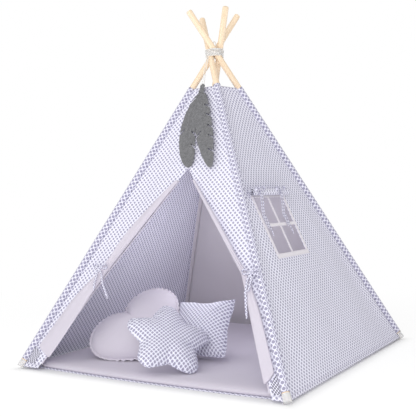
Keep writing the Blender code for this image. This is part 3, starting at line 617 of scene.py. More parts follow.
def plain_weave(wiring, given):
    """Threads that pass over and under and slubs in them, their colour following their height as painted
    shade in the dips and painted light on the raised threads, and a slight change of tone in patches.
    """
    split = wiring.node("ShaderNodeSeparateXYZ", {0: given["Place"]})
    waves = []
    for axis in split.outputs[:2]:
        phase = wiring.times(wiring.over(axis, given["Thread"]), math.pi)
        waves.append(wiring.math("SINE", phase))
    slub = wiring.cloud(given["Place"], 420.0, 3.0)
    height = wiring.plus(slub, wiring.times(*waves), 0.5)
    patches = wiring.cloud(given["Body"], 5.0, 3.0)
    tone = wiring.times(wiring.minus(patches, 0.5), given["Patch Tone"])
    # Painted shade in the weave's dips and painted light on its raised threads
    fine = wiring.times(wiring.minus(height, 0.5), given["Thread Shade"])
    level = wiring.plus(wiring.plus(tone, fine), 1.0)
    scaled = wiring.node("ShaderNodeVectorMath", {0: given["Color"], 3: level}, operation="SCALE")
    return {"Color": scaled.outputs[0], "Height": height, "Roughness": wiring.plus(0.84, slub, 0.14)}


def cotton_creases(wiring, given):
    """Fine creases and soft folds of washed cotton, as a height."""
    folds = wiring.cloud(given["Body"], given["Fold Scale"], 3.0, 1.4)
    fine = wiring.cloud(given["Body"], given["Crease Scale"], 2.0, 2.5)
    return {"Height": wiring.plus(folds, wiring.math("ABSOLUTE", wiring.minus(fine, 0.5)), 0.35)}


def pine_grain(wiring, given):
    """Long rings and fibres along Z of the place, and a few darker streaks."""
    drawn, stretched = [
        wiring.node("ShaderNodeMapping", {"Vector": given["Place"], "Scale": (1, 1, share)}).outputs[0]
        for share in (0.045, 0.02)
    ]
    warped = wiring.cloud(drawn, given["Ring Scale"], 3.0, 0.9)
    late = wiring.power(wiring.math("FRACT", wiring.times(warped, 5.0)), 3.0)
    fibres = wiring.cloud(stretched, given["Fibre Scale"], 2.0)
    share = wiring.plus(wiring.times(late, 0.5), fibres, 0.35)
    colour = wiring.blend(share, given["Light Wood"], given["Dark Wood"])
    height = wiring.plus(fibres, late, 0.4)
    return {"Color": colour, "Height": height, "Roughness": wiring.plus(0.42, fibres, 0.25)}


def felt_fibres(wiring, given):
    """Pressed wool: matted fibres in two tones."""
    fibres = wiring.cloud(given["Place"], given["Fibre Scale"], 4.0, 3.0)
    clumps = wiring.cloud(given["Place"], 120.0, 3.0)
    flecks = wiring.step(wiring.plus(fibres, clumps, 0.3), 0.45, 0.85)
    colour = wiring.blend(flecks, given["Dark Wool"], given["Light Wool"])
    return {"Color": colour, "Height": wiring.plus(fibres, clumps)}


def cord_twist(wiring, given):
    """Strands laid round a cord, darker in the grooves between them as painted shade. In its place, across is
    round the cord and up is along it.
    """
    split = wiring.node("ShaderNodeSeparateXYZ", {0: given["Place"]})
    phase = wiring.times(wiring.over(wiring.plus(*split.outputs[:2]), given["Strand"]), 2 * math.pi)
    rounded = wiring.plus(0.5, wiring.math("SINE", phase), 0.5)
    fuzz = wiring.cloud(given["Place"], 2500.0, 2.0)
    # Painted shade: the colour darkens where the strands sink into the grooves
    groove_shade = wiring.times(wiring.power(wiring.minus(1.0, rounded), 3.0), 0.6)
    colour = wiring.blend(groove_shade, given["Color"], given["Groove Shade"])
    return {"Color": colour, "Height": wiring.plus(rounded, fuzz, 0.3)}


GREY = (0.5, 0.5, 0.5, 1)
# Each group's wiring and its inputs: a number, a grey for a colour, or none for a place
GROUPS = {
    "Lattice print": (
        lattice_print,
        {
            "Place": None,
            "Cell": 0.0115,
            "Dot Size": 0.34,
            "Softness": 0.08,
            "Ground": GREY,
            "Dot": GREY,
            "Unevenness": 0.12,
        },
    ),
    "Plain weave": (
        plain_weave,
        {
            "Place": None,
            "Body": None,
            "Thread": 0.0009,
            "Color": GREY,
            "Thread Shade": 0.06,
            "Patch Tone": 0.05,
        },
    ),
    "Cotton creases": (cotton_creases, {"Body": None, "Fold Scale": 14.0, "Crease Scale": 70.0}),
    "Pine grain": (
        pine_grain,
        {"Place": None, "Light Wood": GREY, "Dark Wood": GREY, "Ring Scale": 60.0, "Fibre Scale": 700.0},
    ),
    "Felt fibres": (
        felt_fibres,
        {"Place": None, "Dark Wool": GREY, "Light Wool": GREY, "Fibre Scale": 900.0},
    ),
    "Cord twist": (cord_twist, {"Place": None, "Strand": 0.0022, "Color": GREY, "Groove Shade": GREY}),
}
SOCKETS = {float: "NodeSocketFloat", tuple: "NodeSocketColor", type(None): "NodeSocketVector"}


def group_named(name):
    """The shader node group of this name, made on first use."""
    if name in bpy.data.node_groups:
        return bpy.data.node_groups[name]
    wire, inputs = GROUPS[name]
    tree = bpy.data.node_groups.new(name, "ShaderNodeTree")
    for title, value in inputs.items():
        socket = tree.interface.new_socket(title, in_out="INPUT", socket_type=SOCKETS[type(value)])
        if value is not None:
            socket.default_value = value
    wiring = Wiring(tree)
    made = wire(wiring, wiring.node("NodeGroupInput").outputs)
    for title in made:
        kind = SOCKETS[tuple] if title == "Color" else SOCKETS[float]
        tree.interface.new_socket(title, in_out="OUTPUT", socket_type=kind)
    wiring.node("NodeGroupOutput", made)
    return tree


# Materials


CREASE_HEIGHT = 0.0016
WEAVE_HEIGHT = 0.00025
GRAIN_HEIGHT = 0.0003
SCUFF_DEPTH = 0.00003
FIBRE_HEIGHT = 0.0006
# Each print's title, and its cell and dot as shares of the settings' cell
PRINTS = {
    "wall": ("lattice cotton", 1, 0.30),
    "cushion": ("cushion lattice cotton", 1, 0.36),
    "sleeve": ("sleeve lattice cotton", 1, 0.39),
    "tie": ("tie lattice cotton", 0.62, 0.38),
    # The tucks show the wrong side, and their darker dots are painted shade in the turned-up fold
    "tuck": ("lattice cotton wrong side", 0.55, 0.40),
}
# Each plain cotton's title, how much its colour follows its threads' height as painted shade and light, and
# how much its patches change its tone
PLAIN_COTTONS = {
    "plain": ("plain cotton", 0.05, 0.08),
    # The back wall's plain cotton is a little darker than the plain cotton, as painted shade of the tent's
    # inside
    "shaded": ("back wall cotton", 0.05, 0.06),
    "tape": ("window tape", 0.10, 0.04),
    "thread": ("sewing thread", 0.10, 0.0),
}


class Finish(Wiring):
    """One material's Principled shader and the groups that feed it."""

    def __init__(self, name):
        self.material = bpy.data.materials.new(name)
        self.material.use_nodes = True
        super().__init__(self.material.node_tree)
        self.shader = self.tree.nodes["Principled BSDF"]
        self.coordinates = self.node("ShaderNodeTexCoord")

    def group(self, name, values):
        made = self.node("ShaderNodeGroup", node_tree=group_named(name))
        made.width = 200
        for socket, value in values.items():
            self.feed(made.inputs[socket], value)
        return made.outputs

    def set(self, **values):
        for name, value in values.items():
            self.feed(self.shader.inputs[name.replace("_", " ")], value)
        return self

    def bump(self, height, distance, strength=1.0, under=None):
        made = self.node("ShaderNodeBump", {"Height": height, "Distance": distance, "Strength": strength})
        if under is not None:
            self.feed(made.inputs["Normal"], under)
        self.feed(self.shader.inputs["Normal"], made.outputs[0])
        return made.outputs[0]


def material(name, make):
    """The material of this name, made on first use."""
    return bpy.data.materials.get(name) or make(name)


def cloth_settings():
    return bpy.context.scene.teepee_cloth


def cotton(name, colour, thread_shade=0.06, patch_tone=0.06, print_values=None):
    """Woven cotton, plain or with the lattice print."""
    finish = Finish(name)
    place = finish.coordinates.outputs["UV"]
    body = finish.coordinates.outputs["Object"]
    base = colour
    if print_values:
        base = finish.group("Lattice print", {"Place": place, "Ground": colour, **print_values})["Color"]
    tones = {"Color": base, "Thread Shade": thread_shade, "Patch Tone": patch_tone}
    weave = finish.group("Plain weave", {"Place": place, "Body": body, **tones})
    finish.set(Base_Color=weave["Color"], Roughness=weave["Roughness"])
    finish.set(Sheen_Weight=0.15, Sheen_Roughness=0.5, Specular_IOR_Level=0.25)
    folds = finish.group("Cotton creases", {"Body": body})
    large = finish.bump(folds["Height"], CREASE_HEIGHT, 0.6)
    finish.bump(weave["Height"], WEAVE_HEIGHT, 0.5, large)
    finish.material.diffuse_color = colour
    return finish.material


def printed_cotton(use):
    """The lattice print as it lies on walls, sleeves, cushions, ties or the tucks' wrong side."""
    title, cell_share, dot_share = PRINTS[use]

    def make(name):
        cloth = cloth_settings()
        cell = cloth.cushion_cell if use == "cushion" else cloth.cover_cell
        # On the tucks the dots are darker, as painted shade
        dot = cloth.shaded_tuck_dot if use == "tuck" else cloth.dot
        values = {"Cell": cell * cell_share, "Dot Size": dot_share, "Softness": 0.07, "Dot": (*dot, 1)}
        return cotton(name, (*cloth.ground, 1), print_values=values)

    return material(title, make)


def unprinted_cotton(use):
    """One of the cottons without a print, in the colour that the settings give it."""
    title, thread_shade, patch_tone = PLAIN_COTTONS[use]

    def make(name):
        return cotton(name, (*getattr(cloth_settings(), use), 1), thread_shade, patch_tone)

    return material(title, make)


def pine(name, pole):
    """Pine whose grain runs along this pole."""
    wood = bpy.context.scene.teepee_frame
    finish = Finish(name)
    across = pole.tangent.cross(pole.direction)
    turned = Matrix((across, pole.tangent, pole.direction)).to_euler("XYZ")
    values = {"Vector": finish.coordinates.outputs["Object"], "Rotation": tuple(turned)}
    placed = finish.node("ShaderNodeMapping", values, vector_type="POINT").outputs[0]
    tones = {"Light Wood": (*wood.light_wood, 1), "Dark Wood": (*wood.dark_wood, 1)}
    grain = finish.group("Pine grain", {"Place": placed, **tones})
    finish.set(Base_Color=grain["Color"], Roughness=grain["Roughness"])
    finish.bump(grain["Height"], GRAIN_HEIGHT, 0.5)
    return finish.material


def clear_plastic():
    def make(name):
        finish = Finish(name)
        scuffs = finish.cloud(finish.coordinates.outputs["Object"], 220.0, 4.0)
        tint = (*bpy.context.scene.teepee_frame.cap_tint, 1)
        finish.set(Base_Color=tint, Roughness=finish.plus(0.02, scuffs, 0.10))
        finish.set(Transmission_Weight=0.45, IOR=1.2)
        finish.bump(scuffs, SCUFF_DEPTH, 0.2)
        return finish.material

    return material("clear plastic", make)


def felt():
    def make(name):
        soft = bpy.context.scene.teepee_soft
        finish = Finish(name)
        tones = {"Dark Wool": (*soft.dark_wool, 1), "Light Wool": (*soft.light_wool, 1)}
        wool = finish.group("Felt fibres", {"Place": finish.coordinates.outputs["Object"], **tones})
        finish.set(Base_Color=wool["Color"], Roughness=0.95, Sheen_Weight=0.3, Specular_IOR_Level=0.15)
        finish.bump(wool["Height"], FIBRE_HEIGHT, 0.7)
        return finish.material

    return material("grey felt", make)


def twisted_cord():
    def make(name):
        colour = bpy.context.scene.teepee_soft.cord_colour
        finish = Finish(name)
        # The grooves' darker colour is painted shade
        tones = {"Color": (*colour, 1), "Groove Shade": (*(value * 0.86 for value in colour), 1)}
        laid = finish.group("Cord twist", {"Place": finish.coordinates.outputs["UV"], **tones})
        finish.set(Base_Color=laid["Color"], Roughness=0.85)
        finish.bump(laid["Height"], FIBRE_HEIGHT, 0.9)
        return finish.material

    return material("cotton cord", make)


# Seams and stitches


STITCH_PITCH = 0.0055
STITCH_LENGTH = 0.0034
THREAD_RADIUS = 0.00042
STITCH_SECTIONS = ((-0.5, 0, 0.5), (-0.25, 1, 1), (0.25, 1, 1), (0.5, 0, 0.5))


def settle(obj, body, slot, node=None):
    """Puts a piece on its body and hides the part that it stands in for. A piece on a wall gets a mesh of its
    own.
    """
    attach(obj, body)
    if node:
        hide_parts(node)
    wall = WALLS.get(body.removesuffix("_panel"))
    if wall:
        middle = tuple(wall.at(0, CROSSING_HEIGHT / 2))
        tuple(wall.across)
        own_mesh(obj)
    return obj


def stitch_row(name, route, away, body, slot, finish=None,
               pitch=STITCH_PITCH, length=STITCH_LENGTH, radius=THREAD_RADIUS):
    """A row of short raised stitches along a route. The away directions point out of the cloth."""
    points, faces = [], []
    run = 0
    due = pitch / 2
    for k, (a, b) in enumerate(zip(route, route[1:])):
        step = (b - a).length
        way = (b - a).normalized()
        normal = away[k] if isinstance(away, list) else away
        side = way.cross(normal).normalized()
        while due < run + step:
            middle = a + way * (due - run)
            base = len(points)
            for along, rise, wide in STITCH_SECTIONS:
                for turn in turns(4):
                    across = side * math.cos(turn) * radius * wide
                    lift = normal * (math.sin(turn) * radius * wide + rise * radius * 0.5)
                    points.append(middle + way * length * along + across + lift)
            faces += [tuple(base + i for i in face) for face in grid_faces(4, 4, closed=True)]
            faces.append(tuple(base + i for i in (3, 2, 1, 0)))
            faces.append(tuple(base + i for i in (12, 13, 14, 15)))
            due += pitch
        run += step
    settle(add_piece(name, points, faces, finish or unprinted_cotton("thread")), body, slot)


# Walls


HEM_BAND = 0.014
HEM_DROP = 0.0165
HEM_EDGE = HEM_HEIGHT - HEM_DROP
HEM_RIPPLE = 0.0002
SEWN_IN = 0.0007
EDGE_REACH = 0.001
# The hem's section, as shares of its height and metres out of the cloth
HEM_SECTION = ((0, 0.0), (0, 0.0008), (0.5, 0.00125), (1, 0.0008), (1, 0.0))
# Over these lengths the cloth's folds die away beside a seam, an edge or an opening
SEAM_CALM = 0.07
HEM_CALM = 0.06
TOP_CALM = 0.05
FLAP_CALM = 0.05
OPENING_CALM = 0.06
# Within these lengths of the window, the blind and the flap the cloth has no folds
WINDOW_CLEAR = 0.045
BLIND_CLEAR = 0.060
FLAP_CLEAR = 0.012
FRONT_CALM_SHARE = 0.6
SEAM_STITCH_INSET = 0.005
SEAM_STITCH_END = 0.004
FOLD_SEEDS = {"front": 1.3, "right": 5.7, "back": 9.1, "left": 13.9}
# How many cells of cloth lie before, across and after the window, and below, beside and above it
WINDOW_COLUMNS = (20, 16, 28)
WINDOW_ROWS = (36, 16, 36)
HALF_COLUMNS = 30


def used_only(points, faces, flat):
    """Leaves out the points that no face has, and gives each face's corners on the flat cloth."""
    used = sorted({i for face in faces for i in face})
    new = {old: k for k, old in enumerate(used)}
    corners = [[flat[i] for i in face] for face in faces]
    return [points[i] for i in used], [tuple(new[i] for i in face) for face in faces], corners


def face_area(corners):
    total = 0
    for k, (x, y) in enumerate(corners):
        after = corners[(k + 1) % len(corners)]
        total += (x * after[1] - after[0] * y) / 2
    return abs(total)


def wall_depth(name, x, z):
    """How far the cloth stands out of its flat place: slack and soft folds, and none where it is sewn."""
    start, end = WALLS[name].ends(z)
    calm = smooth((x - start) / SEAM_CALM) * smooth((end - x) / SEAM_CALM)
    calm *= smooth((z - HEM_HEIGHT) / HEM_CALM) * smooth((COVER_TOP - z) / TOP_CALM)
    if name == "right":
        left, right, sill, head = window_sides()
        beside = max(left - WINDOW_CLEAR - x, x - right - WINDOW_CLEAR)
        beyond = max(beside, sill - WINDOW_CLEAR - z, z - head - BLIND_CLEAR)
        calm *= smooth(beyond / OPENING_CALM)
    if name == "front":
        if z < DOOR_APEX_HEIGHT:
            for side in ("left", "right"):
                away = sign_of(side) * (x - door_edge_place(side, z))
                if away > -EDGE_REACH:
                    calm *= smooth((away - FLAP_WIDTH[side] - FLAP_CLEAR) / FLAP_CALM)
        else:
            calm *= smooth((z - DOOR_APEX_HEIGHT) / OPENING_CALM)
        calm *= FRONT_CALM_SHARE
    settings = cloth_settings()
    seed = FOLD_SEEDS[name]
    slack = -settings.wall_slack * (1 + 0.4 * wander(x * 3, z * 2, 4.0 + len(name)))
    folds = settings.wall_folds * wander(x * 8 + z * 1.5, z * 2.2 - x * 1.5, seed)
    fine = settings.wall_folds * 0.3 * wander(x * 26 + z * 4, z * 9, seed + 2)
    return calm * (slack + folds + fine)


def widest(rows, first, last):
    return max(row[last][0] - row[first][0] for row in rows)


def wall_sheet(name, rows, finish, slot, keep=None):
    """A wall's cloth over a grid of flat places, with its thickness."""
    wall = WALLS[name]
    width = len(rows[0])
    points = [wall.at(x, z, wall_depth(name, x, z)) for row in rows for x, z in row]
    flat = [wall.flat(x, z) for row in rows for x, z in row]
    points, faces, corners = used_only(points, grid_faces(width, len(rows), keep=keep), flat)
    obj = add_piece("wall_" + name + "_cloth", points, faces, finish, corners)
    joined_middle(obj)
    finish_modifiers(lay(obj, CLOTH))
    if name == "front":
        # Its two halves are cut side by side as slanting strips
        wide = widest(rows, 0, width // 2 - 1) + widest(rows, width // 2, -1)
    else:
        wide = widest(rows, 0, -1)
    poles = ["pole_sleeve_" + corner for corner in WALL_CORNERS[name]]
    area = sum(face_area(face) for face in corners)
    settle(obj, name + "_panel", slot, "wall_" + name)


def sewn_ends(wall, z):
    """The wall's ends, let just into both sleeves' seams."""
    start, end = wall.ends(z)
    return start - SEWN_IN, end + SEWN_IN


def plain_wall_rows(name):
    wall = WALLS[name]
    rows = []
    for z in spaced(HEM_EDGE, COVER_TOP, 90):
        rows.append([(x, z) for x in spaced(*sewn_ends(wall, z), 72)])
    return rows


def front_wall_rows():
    """Rows in two halves, which meet along the middle above the doorway."""
    wall = WALLS["front"]
    heights = stations((HEM_EDGE, DOOR_APEX_HEIGHT, COVER_TOP), (64, 30))
    rows = []
    for z in heights:
        start, end = sewn_ends(wall, z)
        left = right = 0
        if z < DOOR_APEX_HEIGHT:
            left, right = door_edge_place("left", z), door_edge_place("right", z)
        row = spaced(start, left, HALF_COLUMNS) + spaced(right, end, HALF_COLUMNS)
        rows.append([(x, z) for x in row])
    return rows


def right_wall_rows():
    wall = WALLS["right"]
    left, right, sill, head = window_sides()

    def columns(z):
        start, end = sewn_ends(wall, z)
        if sill <= z <= head:
            return stations((start, left, right, end), WINDOW_COLUMNS)
        level = min(max(z, sill), head)
        low, high = sewn_ends(wall, level)
        return [start + (x - low) / (high - low) * (end - start) for x in columns(level)]

    heights = stations((HEM_EDGE, sill, head, COVER_TOP), WINDOW_ROWS)
    return [[(x, z) for x in columns(z)] for z in heights]


def off_opening(rows, columns):
    """Whether a cell of a grid with these many cells before, across and after an opening is off it."""

    def kept(row, column):
        in_row = rows[0] <= row < rows[0] + rows[1]
        return not (in_row and columns[0] <= column < columns[0] + columns[1])

    return kept


def hem_band(wall_name, label, low, high, finish, slot):
    """A folded band along the top or the bottom of a wall, with its stitching."""
    wall = WALLS[wall_name]
    at_door = wall_name == "front" and label == "foot"
    for part in ("_1", "_2") if at_door else ("",):
        rings = []
        for share in spaced(0, 1, 70):
            section = []
            for up, out in HEM_SECTION:
                z = low + (high - low) * up
                start, end = wall.ends(z)
                if part == "_1":
                    end = door_edge_place("left", z)
                if part == "_2":
                    start = door_edge_place("right", z)
                x = start + (end - start) * share
                ripple = HEM_RIPPLE * wander(x * 60, up * 3, 3.0)
                section.append(wall.at(x, z, wall_depth(wall_name, x, z) + CLOTH / 2 + out + ripple))
            rings.append(section)
        title = f"{wall_name}_{label}{part}"
        settle(add_loft("hem_" + title, rings, finish), wall_name + "_panel", slot)
        route = [ring[2].lerp(ring[3], 0.6) for ring in rings]
        stitch_row("hem_stitch_" + title, route, wall.out, wall_name + "_panel", slot)


def side_seams(wall_name, slot):
    """Rows of stitches beside both sleeves."""
    wall = WALLS[wall_name]
    for index, label in enumerate(("left", "right")):
        route = []
        for z in spaced(HEM_HEIGHT + SEAM_STITCH_END, COVER_TOP - SEAM_STITCH_END, 120):
            x = wall.ends(z)[index] - sign_of(label) * SEAM_STITCH_INSET
            route.append(wall.at(x, z, wall_depth(wall_name, x, z) + CLOTH / 2))
        name = f"seam_stitch_{wall_name}_{label}"
        stitch_row(name, route, wall.out, wall_name + "_panel", slot)


def make_walls():
    sheets = {
        "front": (front_wall_rows(), lambda row, column: column != HALF_COLUMNS),
        "right": (right_wall_rows(), off_opening(WINDOW_ROWS, WINDOW_COLUMNS)),
        "left": (plain_wall_rows("left"), None),
        "back": (plain_wall_rows("back"), None),
    }
    finishes = {name: (printed_cotton("wall"), "lattice_print") for name in sheets}
    # The back wall is unprinted, and its cotton is darkened as painted shade
    finishes["back"] = (unprinted_cotton("shaded"), "shaded_cotton")
    for name, (rows, keep) in sheets.items():
        wall_sheet(name, rows, *finishes[name], keep)
    for name, (finish, slot) in finishes.items():
        hem_band(name, "foot", HEM_EDGE, HEM_EDGE + HEM_BAND, finish, slot)
        hem_band(name, "top", COVER_TOP - HEM_BAND, COVER_TOP, finish, slot)
        side_seams(name, slot)


# Sleeves


SLEEVE_TOP_RISE = 0.001
SLEEVE_END_TAPER = 0.006
SLEEVE_STITCH_INSET = 0.010
SLEEVE_SEEDS = {"front_left": 2.1, "front_right": 6.3, "back_right": 8.7, "back_left": 12.2}
INSIDE_TURN_SHARE = 0.25
INSIDE_DEPTH_SHARE = 0.3


def dress_inside(sleeve, pole):
    """Gives the sleeve's inner side, from its middle seam to the back wall, the back wall's plain cotton,
    whose darker tone is painted shade.
    """
    sleeve.data.materials.append(unprinted_cotton("shaded"))
    for face in sleeve.data.polygons:
        away = face.center - pole.at(face.center.z)
        to_back = Vector((-math.copysign(1, face.center.x), INSIDE_TURN_SHARE, 0))
        if away.dot(to_back) > 0 and away.y < INSIDE_DEPTH_SHARE * POLE_DIAMETER:
            face.material_index = 1


def make_sleeve(corner_name, pole):
    """A strip of the print sewn round the pole, puckered a little along its seams."""
    low_end, high_end = SLEEVE_BOTTOM, COVER_TOP + SLEEVE_TOP_RISE
    seed = SLEEVE_SEEDS[corner_name]
    outer, inner = [], []
    for z in spaced(low_end, high_end, 150):
        ends = min(1, min(z - low_end, high_end - z) / SLEEVE_END_TAPER)
        ring, back = [], []
        for a in turns(24):
            slack = 0.5 + 0.5 * wander(math.cos(a) * 1.3 + z * 26, math.sin(a) * 1.3, seed)
            radius = SLEEVE_RADIUS - (SLEEVE_FABRIC - CLOTH) * slack * ends
            ring.append(pole.around(z, radius, a))
            back.append(pole.around(z, radius - CLOTH, a))
        outer.append(ring)
        inner.append(back)
    rings = outer + inner[::-1] + outer[:1]
    obj = add_loft("sleeve_" + corner_name, rings, printed_cotton("sleeve"), capped=False)
    if corner_name.startswith("back"):
        dress_inside(obj, pole)
    body, slot = "leg_" + corner_name, "lattice_print_bold"
    settle(obj, body, slot, "pole_sleeve_" + corner_name)
    for label, z in (("low", low_end + SLEEVE_STITCH_INSET), ("high", high_end - SLEEVE_STITCH_INSET)):
        route = [pole.around(z, SLEEVE_RADIUS, a) for a in (*turns(36), 2 * math.pi)]
        away = [(p - pole.at(z)).normalized() for p in route]
        stitch_row(f"sleeve_stitch_{corner_name}_{label}", route, away, body, slot)


# Doorway


EDGE_STITCH_INSET = 0.0045
EDGE_STITCH_END = 0.005
FLAP_PULL_LENGTH = 0.11


def make_door_edge(side):
    """A bound edge, folded over the doorway's raw cloth, with a crease down its middle."""
    wall = WALLS["front"]
    sign = sign_of(side)
    rings = []
    for z in spaced(HEM_HEIGHT, FLAP_TOP, 90):
        edge = door_edge_place(side, z) - sign * SEAM_GAP
        middle = edge - sign * DOOR_EDGE_WIDTH / 2
        wave = 1 + 0.10 * wander(z * 40, sign, 3.3)
        ring = []
        for a in turns(14):
            wide = DOOR_EDGE_WIDTH / 2 * math.cos(a)
            deep = DOOR_EDGE_THICKNESS / 2 * math.sin(a) * wave * (1 - 0.35 * math.cos(a) ** 6)
            ring.append(wall.at(middle + wide, z, deep))
        rings.append(ring)
    obj = add_loft("bound_edge_" + side, rings, unprinted_cotton("plain"))
    settle(obj, side + "_door_edge", "plain_cotton", "door_edge_" + side)
    route = []
    for z in spaced(HEM_HEIGHT + EDGE_STITCH_END, FLAP_TOP - EDGE_STITCH_END, 100):
        route.append(wall.at(door_edge_place(side, z) - sign * EDGE_STITCH_INSET, z, DOOR_EDGE_THICKNESS / 2))
    stitch_row("bound_edge_stitch_" + side, route, wall.out, side + "_door_edge", "plain_cotton")


def flap_ring(side, share):
    """One ring of a rolled flap, with long folds that meet at its tie."""
    wall = WALLS["front"]
    sign = sign_of(side)
    base = WALL_FABRIC / 2 + SEWN_GAP
    height = FLAP_BOTTOM + (FLAP_TOP - FLAP_BOTTOM) * share
    lift = FLAP_CORNER_LIFT * (1 - share) ** 3
    ring = []
    for a in turns(48):
        raised = height + lift * (1 + sign * math.cos(a)) / 2
        centre, half_width, half_thickness = flap_section(side, raised)
        pull = math.exp(-(((raised - DOOR_TIE_HEIGHT) / FLAP_PULL_LENGTH) ** 2))
        phase = wander(raised * 3.5, 0, 7.0 + sign) * 2.2
        fold = 0.5 + 0.5 * math.sin(5 * a + phase + raised * 7)
        small = 0.5 + 0.5 * math.sin(11 * a + raised * 16)
        inset = half_thickness * (0.16 + 0.34 * pull) * fold + half_thickness * 0.14 * pull * small
        wide = half_width - min(half_width * 0.3, inset * 0.5)
        deep = half_thickness - min(half_thickness * 0.6, inset)
        inner = (1 - sign * math.cos(a)) / 2
        over = smooth(inner * 2 - 1)
        fan = smooth((DOOR_TIE_HEIGHT - raised) / (DOOR_TIE_HEIGHT - FLAP_BOTTOM))
        slim = FLAP_SLIM_SHARE[side] * smooth((raised - DOOR_TIE_HEIGHT) / FLAP_PINCH_LENGTH)
        out = base + (half_thickness + deep * -math.sin(a)) * (1 - 0.45 * fan)
        out = max(out, base + (FLAP_OVER_EDGE_RISE - base) * over)
        across = centre + wide * math.cos(a)
        across -= sign * (FLAP_OVER_EDGE * over + FLAP_FAN[side] * fan * inner)
        across -= sign * 2 * half_width * slim * (1 - inner)
        ring.append(wall.at(across, raised, out))
    return ring


def make_door_flap(side):
    """The flap, rolled up and tied, with its free end fanned out below the tie."""
    rings = [flap_ring(side, share) for share in spaced(0, 1, 96)]
    obj = add_loft("rolled_flap_" + side, rings, unprinted_cotton("plain"))
    crease = obj.modifiers.new("soft crease", "SUBSURF")
    crease.levels = crease.render_levels = 1
    finish_modifiers(obj)
    settle(obj, side + "_door_flap", "plain_cotton", "door_flap_" + side)


def make_tuck(side):
    """A patch of the cover's wrong side, turned up at the foot of the flap. Its print's dots are darker, as
    painted shade in the fold.
    """
    wall = WALLS["front"]
    sign = sign_of(side)
    low = WALL_FABRIC / 2 + SEWN_GAP + CLOTH / 2
    foot = HEM_HEIGHT + SEWN_GAP
    rows = []
    for up in spaced(0, 1, 16):
        row = []
        for over in spaced(0, 1, 16):
            off = TUCK_WIDTH[side] * over
            share = (DOOR_CORNER_STRIP[side] - off) / FLAP_WIDTH[side]
            z = foot + (FLAP_BOTTOM + FLAP_CORNER_LIFT * share - TUCK_DROP - foot) * up
            x = wall.ends(z)[0 if side == "left" else 1] - sign * SEWN_GAP - sign * off
            puff = math.sin(math.pi * up) ** 0.5 * math.sin(math.pi * over) ** 0.5
            wave = 0.5 + 0.5 * math.sin(over * 9 + up * 5)
            out = low + (TUCK_THICKNESS - CLOTH) * puff * (0.4 + 0.6 * wave)
            row.append((wall.at(x, z, out), (sign * -off, z)))
        rows.append(row if sign < 0 else row[::-1])
    points = [p for row in rows for p, flat in row]
    flat = [f for row in rows for p, f in row]
    points, faces, corners = used_only(points, grid_faces(len(rows[0]), len(rows)), flat)
    obj = add_piece("turned_tuck_" + side, points, faces, printed_cotton("tuck"), corners)
    finish_modifiers(lay(obj, CLOTH))
    settle(obj, "leg_front_" + side, "lattice_print", "corner_tuck_" + side)


# Bows


# One loop of a bow, from its knot out and back, as shares of its length and width
BOW_LOOP_SHARES = ((0.30, 0.42), (0.68, 0.62), (0.97, 0.38), (0.92, -0.06), (0.58, -0.16), (0.25, -0.05))
BOW_LOOP_ROOT = 0.002
BOW_RIBBON_THICKNESS = 0.0020
TAIL_START = 0.004
TAIL_KNOT_ROOM = 0.010
TAIL_WAVE = 0.0016
TAIL_RIBBON = 0.0088
TAIL_RIBBON_WAVE = 0.0022
TAIL_THICKNESS = 0.0022
TAIL_THICKNESS_WAVE = 0.0008
FRAY_LENGTH = 0.009
FRAY_WIDTH = 0.0052
FRAY_FLARE = 0.0030
FRAY_THICKNESS = 0.0018


def bow_loop(sign):
    """Flat places along one loop of a bow."""
    flat = [Vector((sign * x * BOW_LOOP_LENGTH, y * BOW_LOOP_WIDTH, 0)) for x, y in BOW_LOOP_SHARES]
    out, back = [Vector((sign * BOW_LOOP_ROOT, y, 0)) for y in (BOW_LOOP_ROOT, -BOW_LOOP_ROOT)]
    return [(p.x, p.y) for p in through([out, *flat, back], 7)]


def bow_knot(place):
    """Rings of the gathered knot that the loops come out of."""
    rings = []
    for share in spaced(-1, 1, 10):
        radius = math.sqrt(max(0.02, 1 - share**2))
        ring = []
        for a in turns(16):
            crimp = 1 - 0.10 * (0.5 + 0.5 * math.sin(4 * a + share * 2))
            x = BOW_KNOT_WIDTH / 2 * 0.92 * share
            y = BOW_KNOT_WIDTH / 2 * radius * crimp * math.cos(a)
            out = BOW_THICKNESS * 0.5 + BOW_THICKNESS * 0.48 * radius * crimp * math.sin(a)
            ring.append(place(x, y, out))
        rings.append(ring)
    return rings


def tail_knot(tip, way, across):
    """Rings of the small knot at the end of a tail."""
    rings = []
    for share in spaced(-1, 1, 8):
        radius = math.sqrt(max(0.03, 1 - share**2)) * BOW_TAIL_WIDTH * 0.46
        ring = []
        for a in turns(14):
            crimp = 1 - 0.16 * (0.5 + 0.5 * math.sin(3 * a + share * 3))
            off = across * math.cos(a) + way.cross(across).normalized() * math.sin(a) * 0.62
            ring.append(tip + way * share * BOW_TAIL_WIDTH * 0.42 + off * radius * crimp)
        rings.append(ring)
    return rings


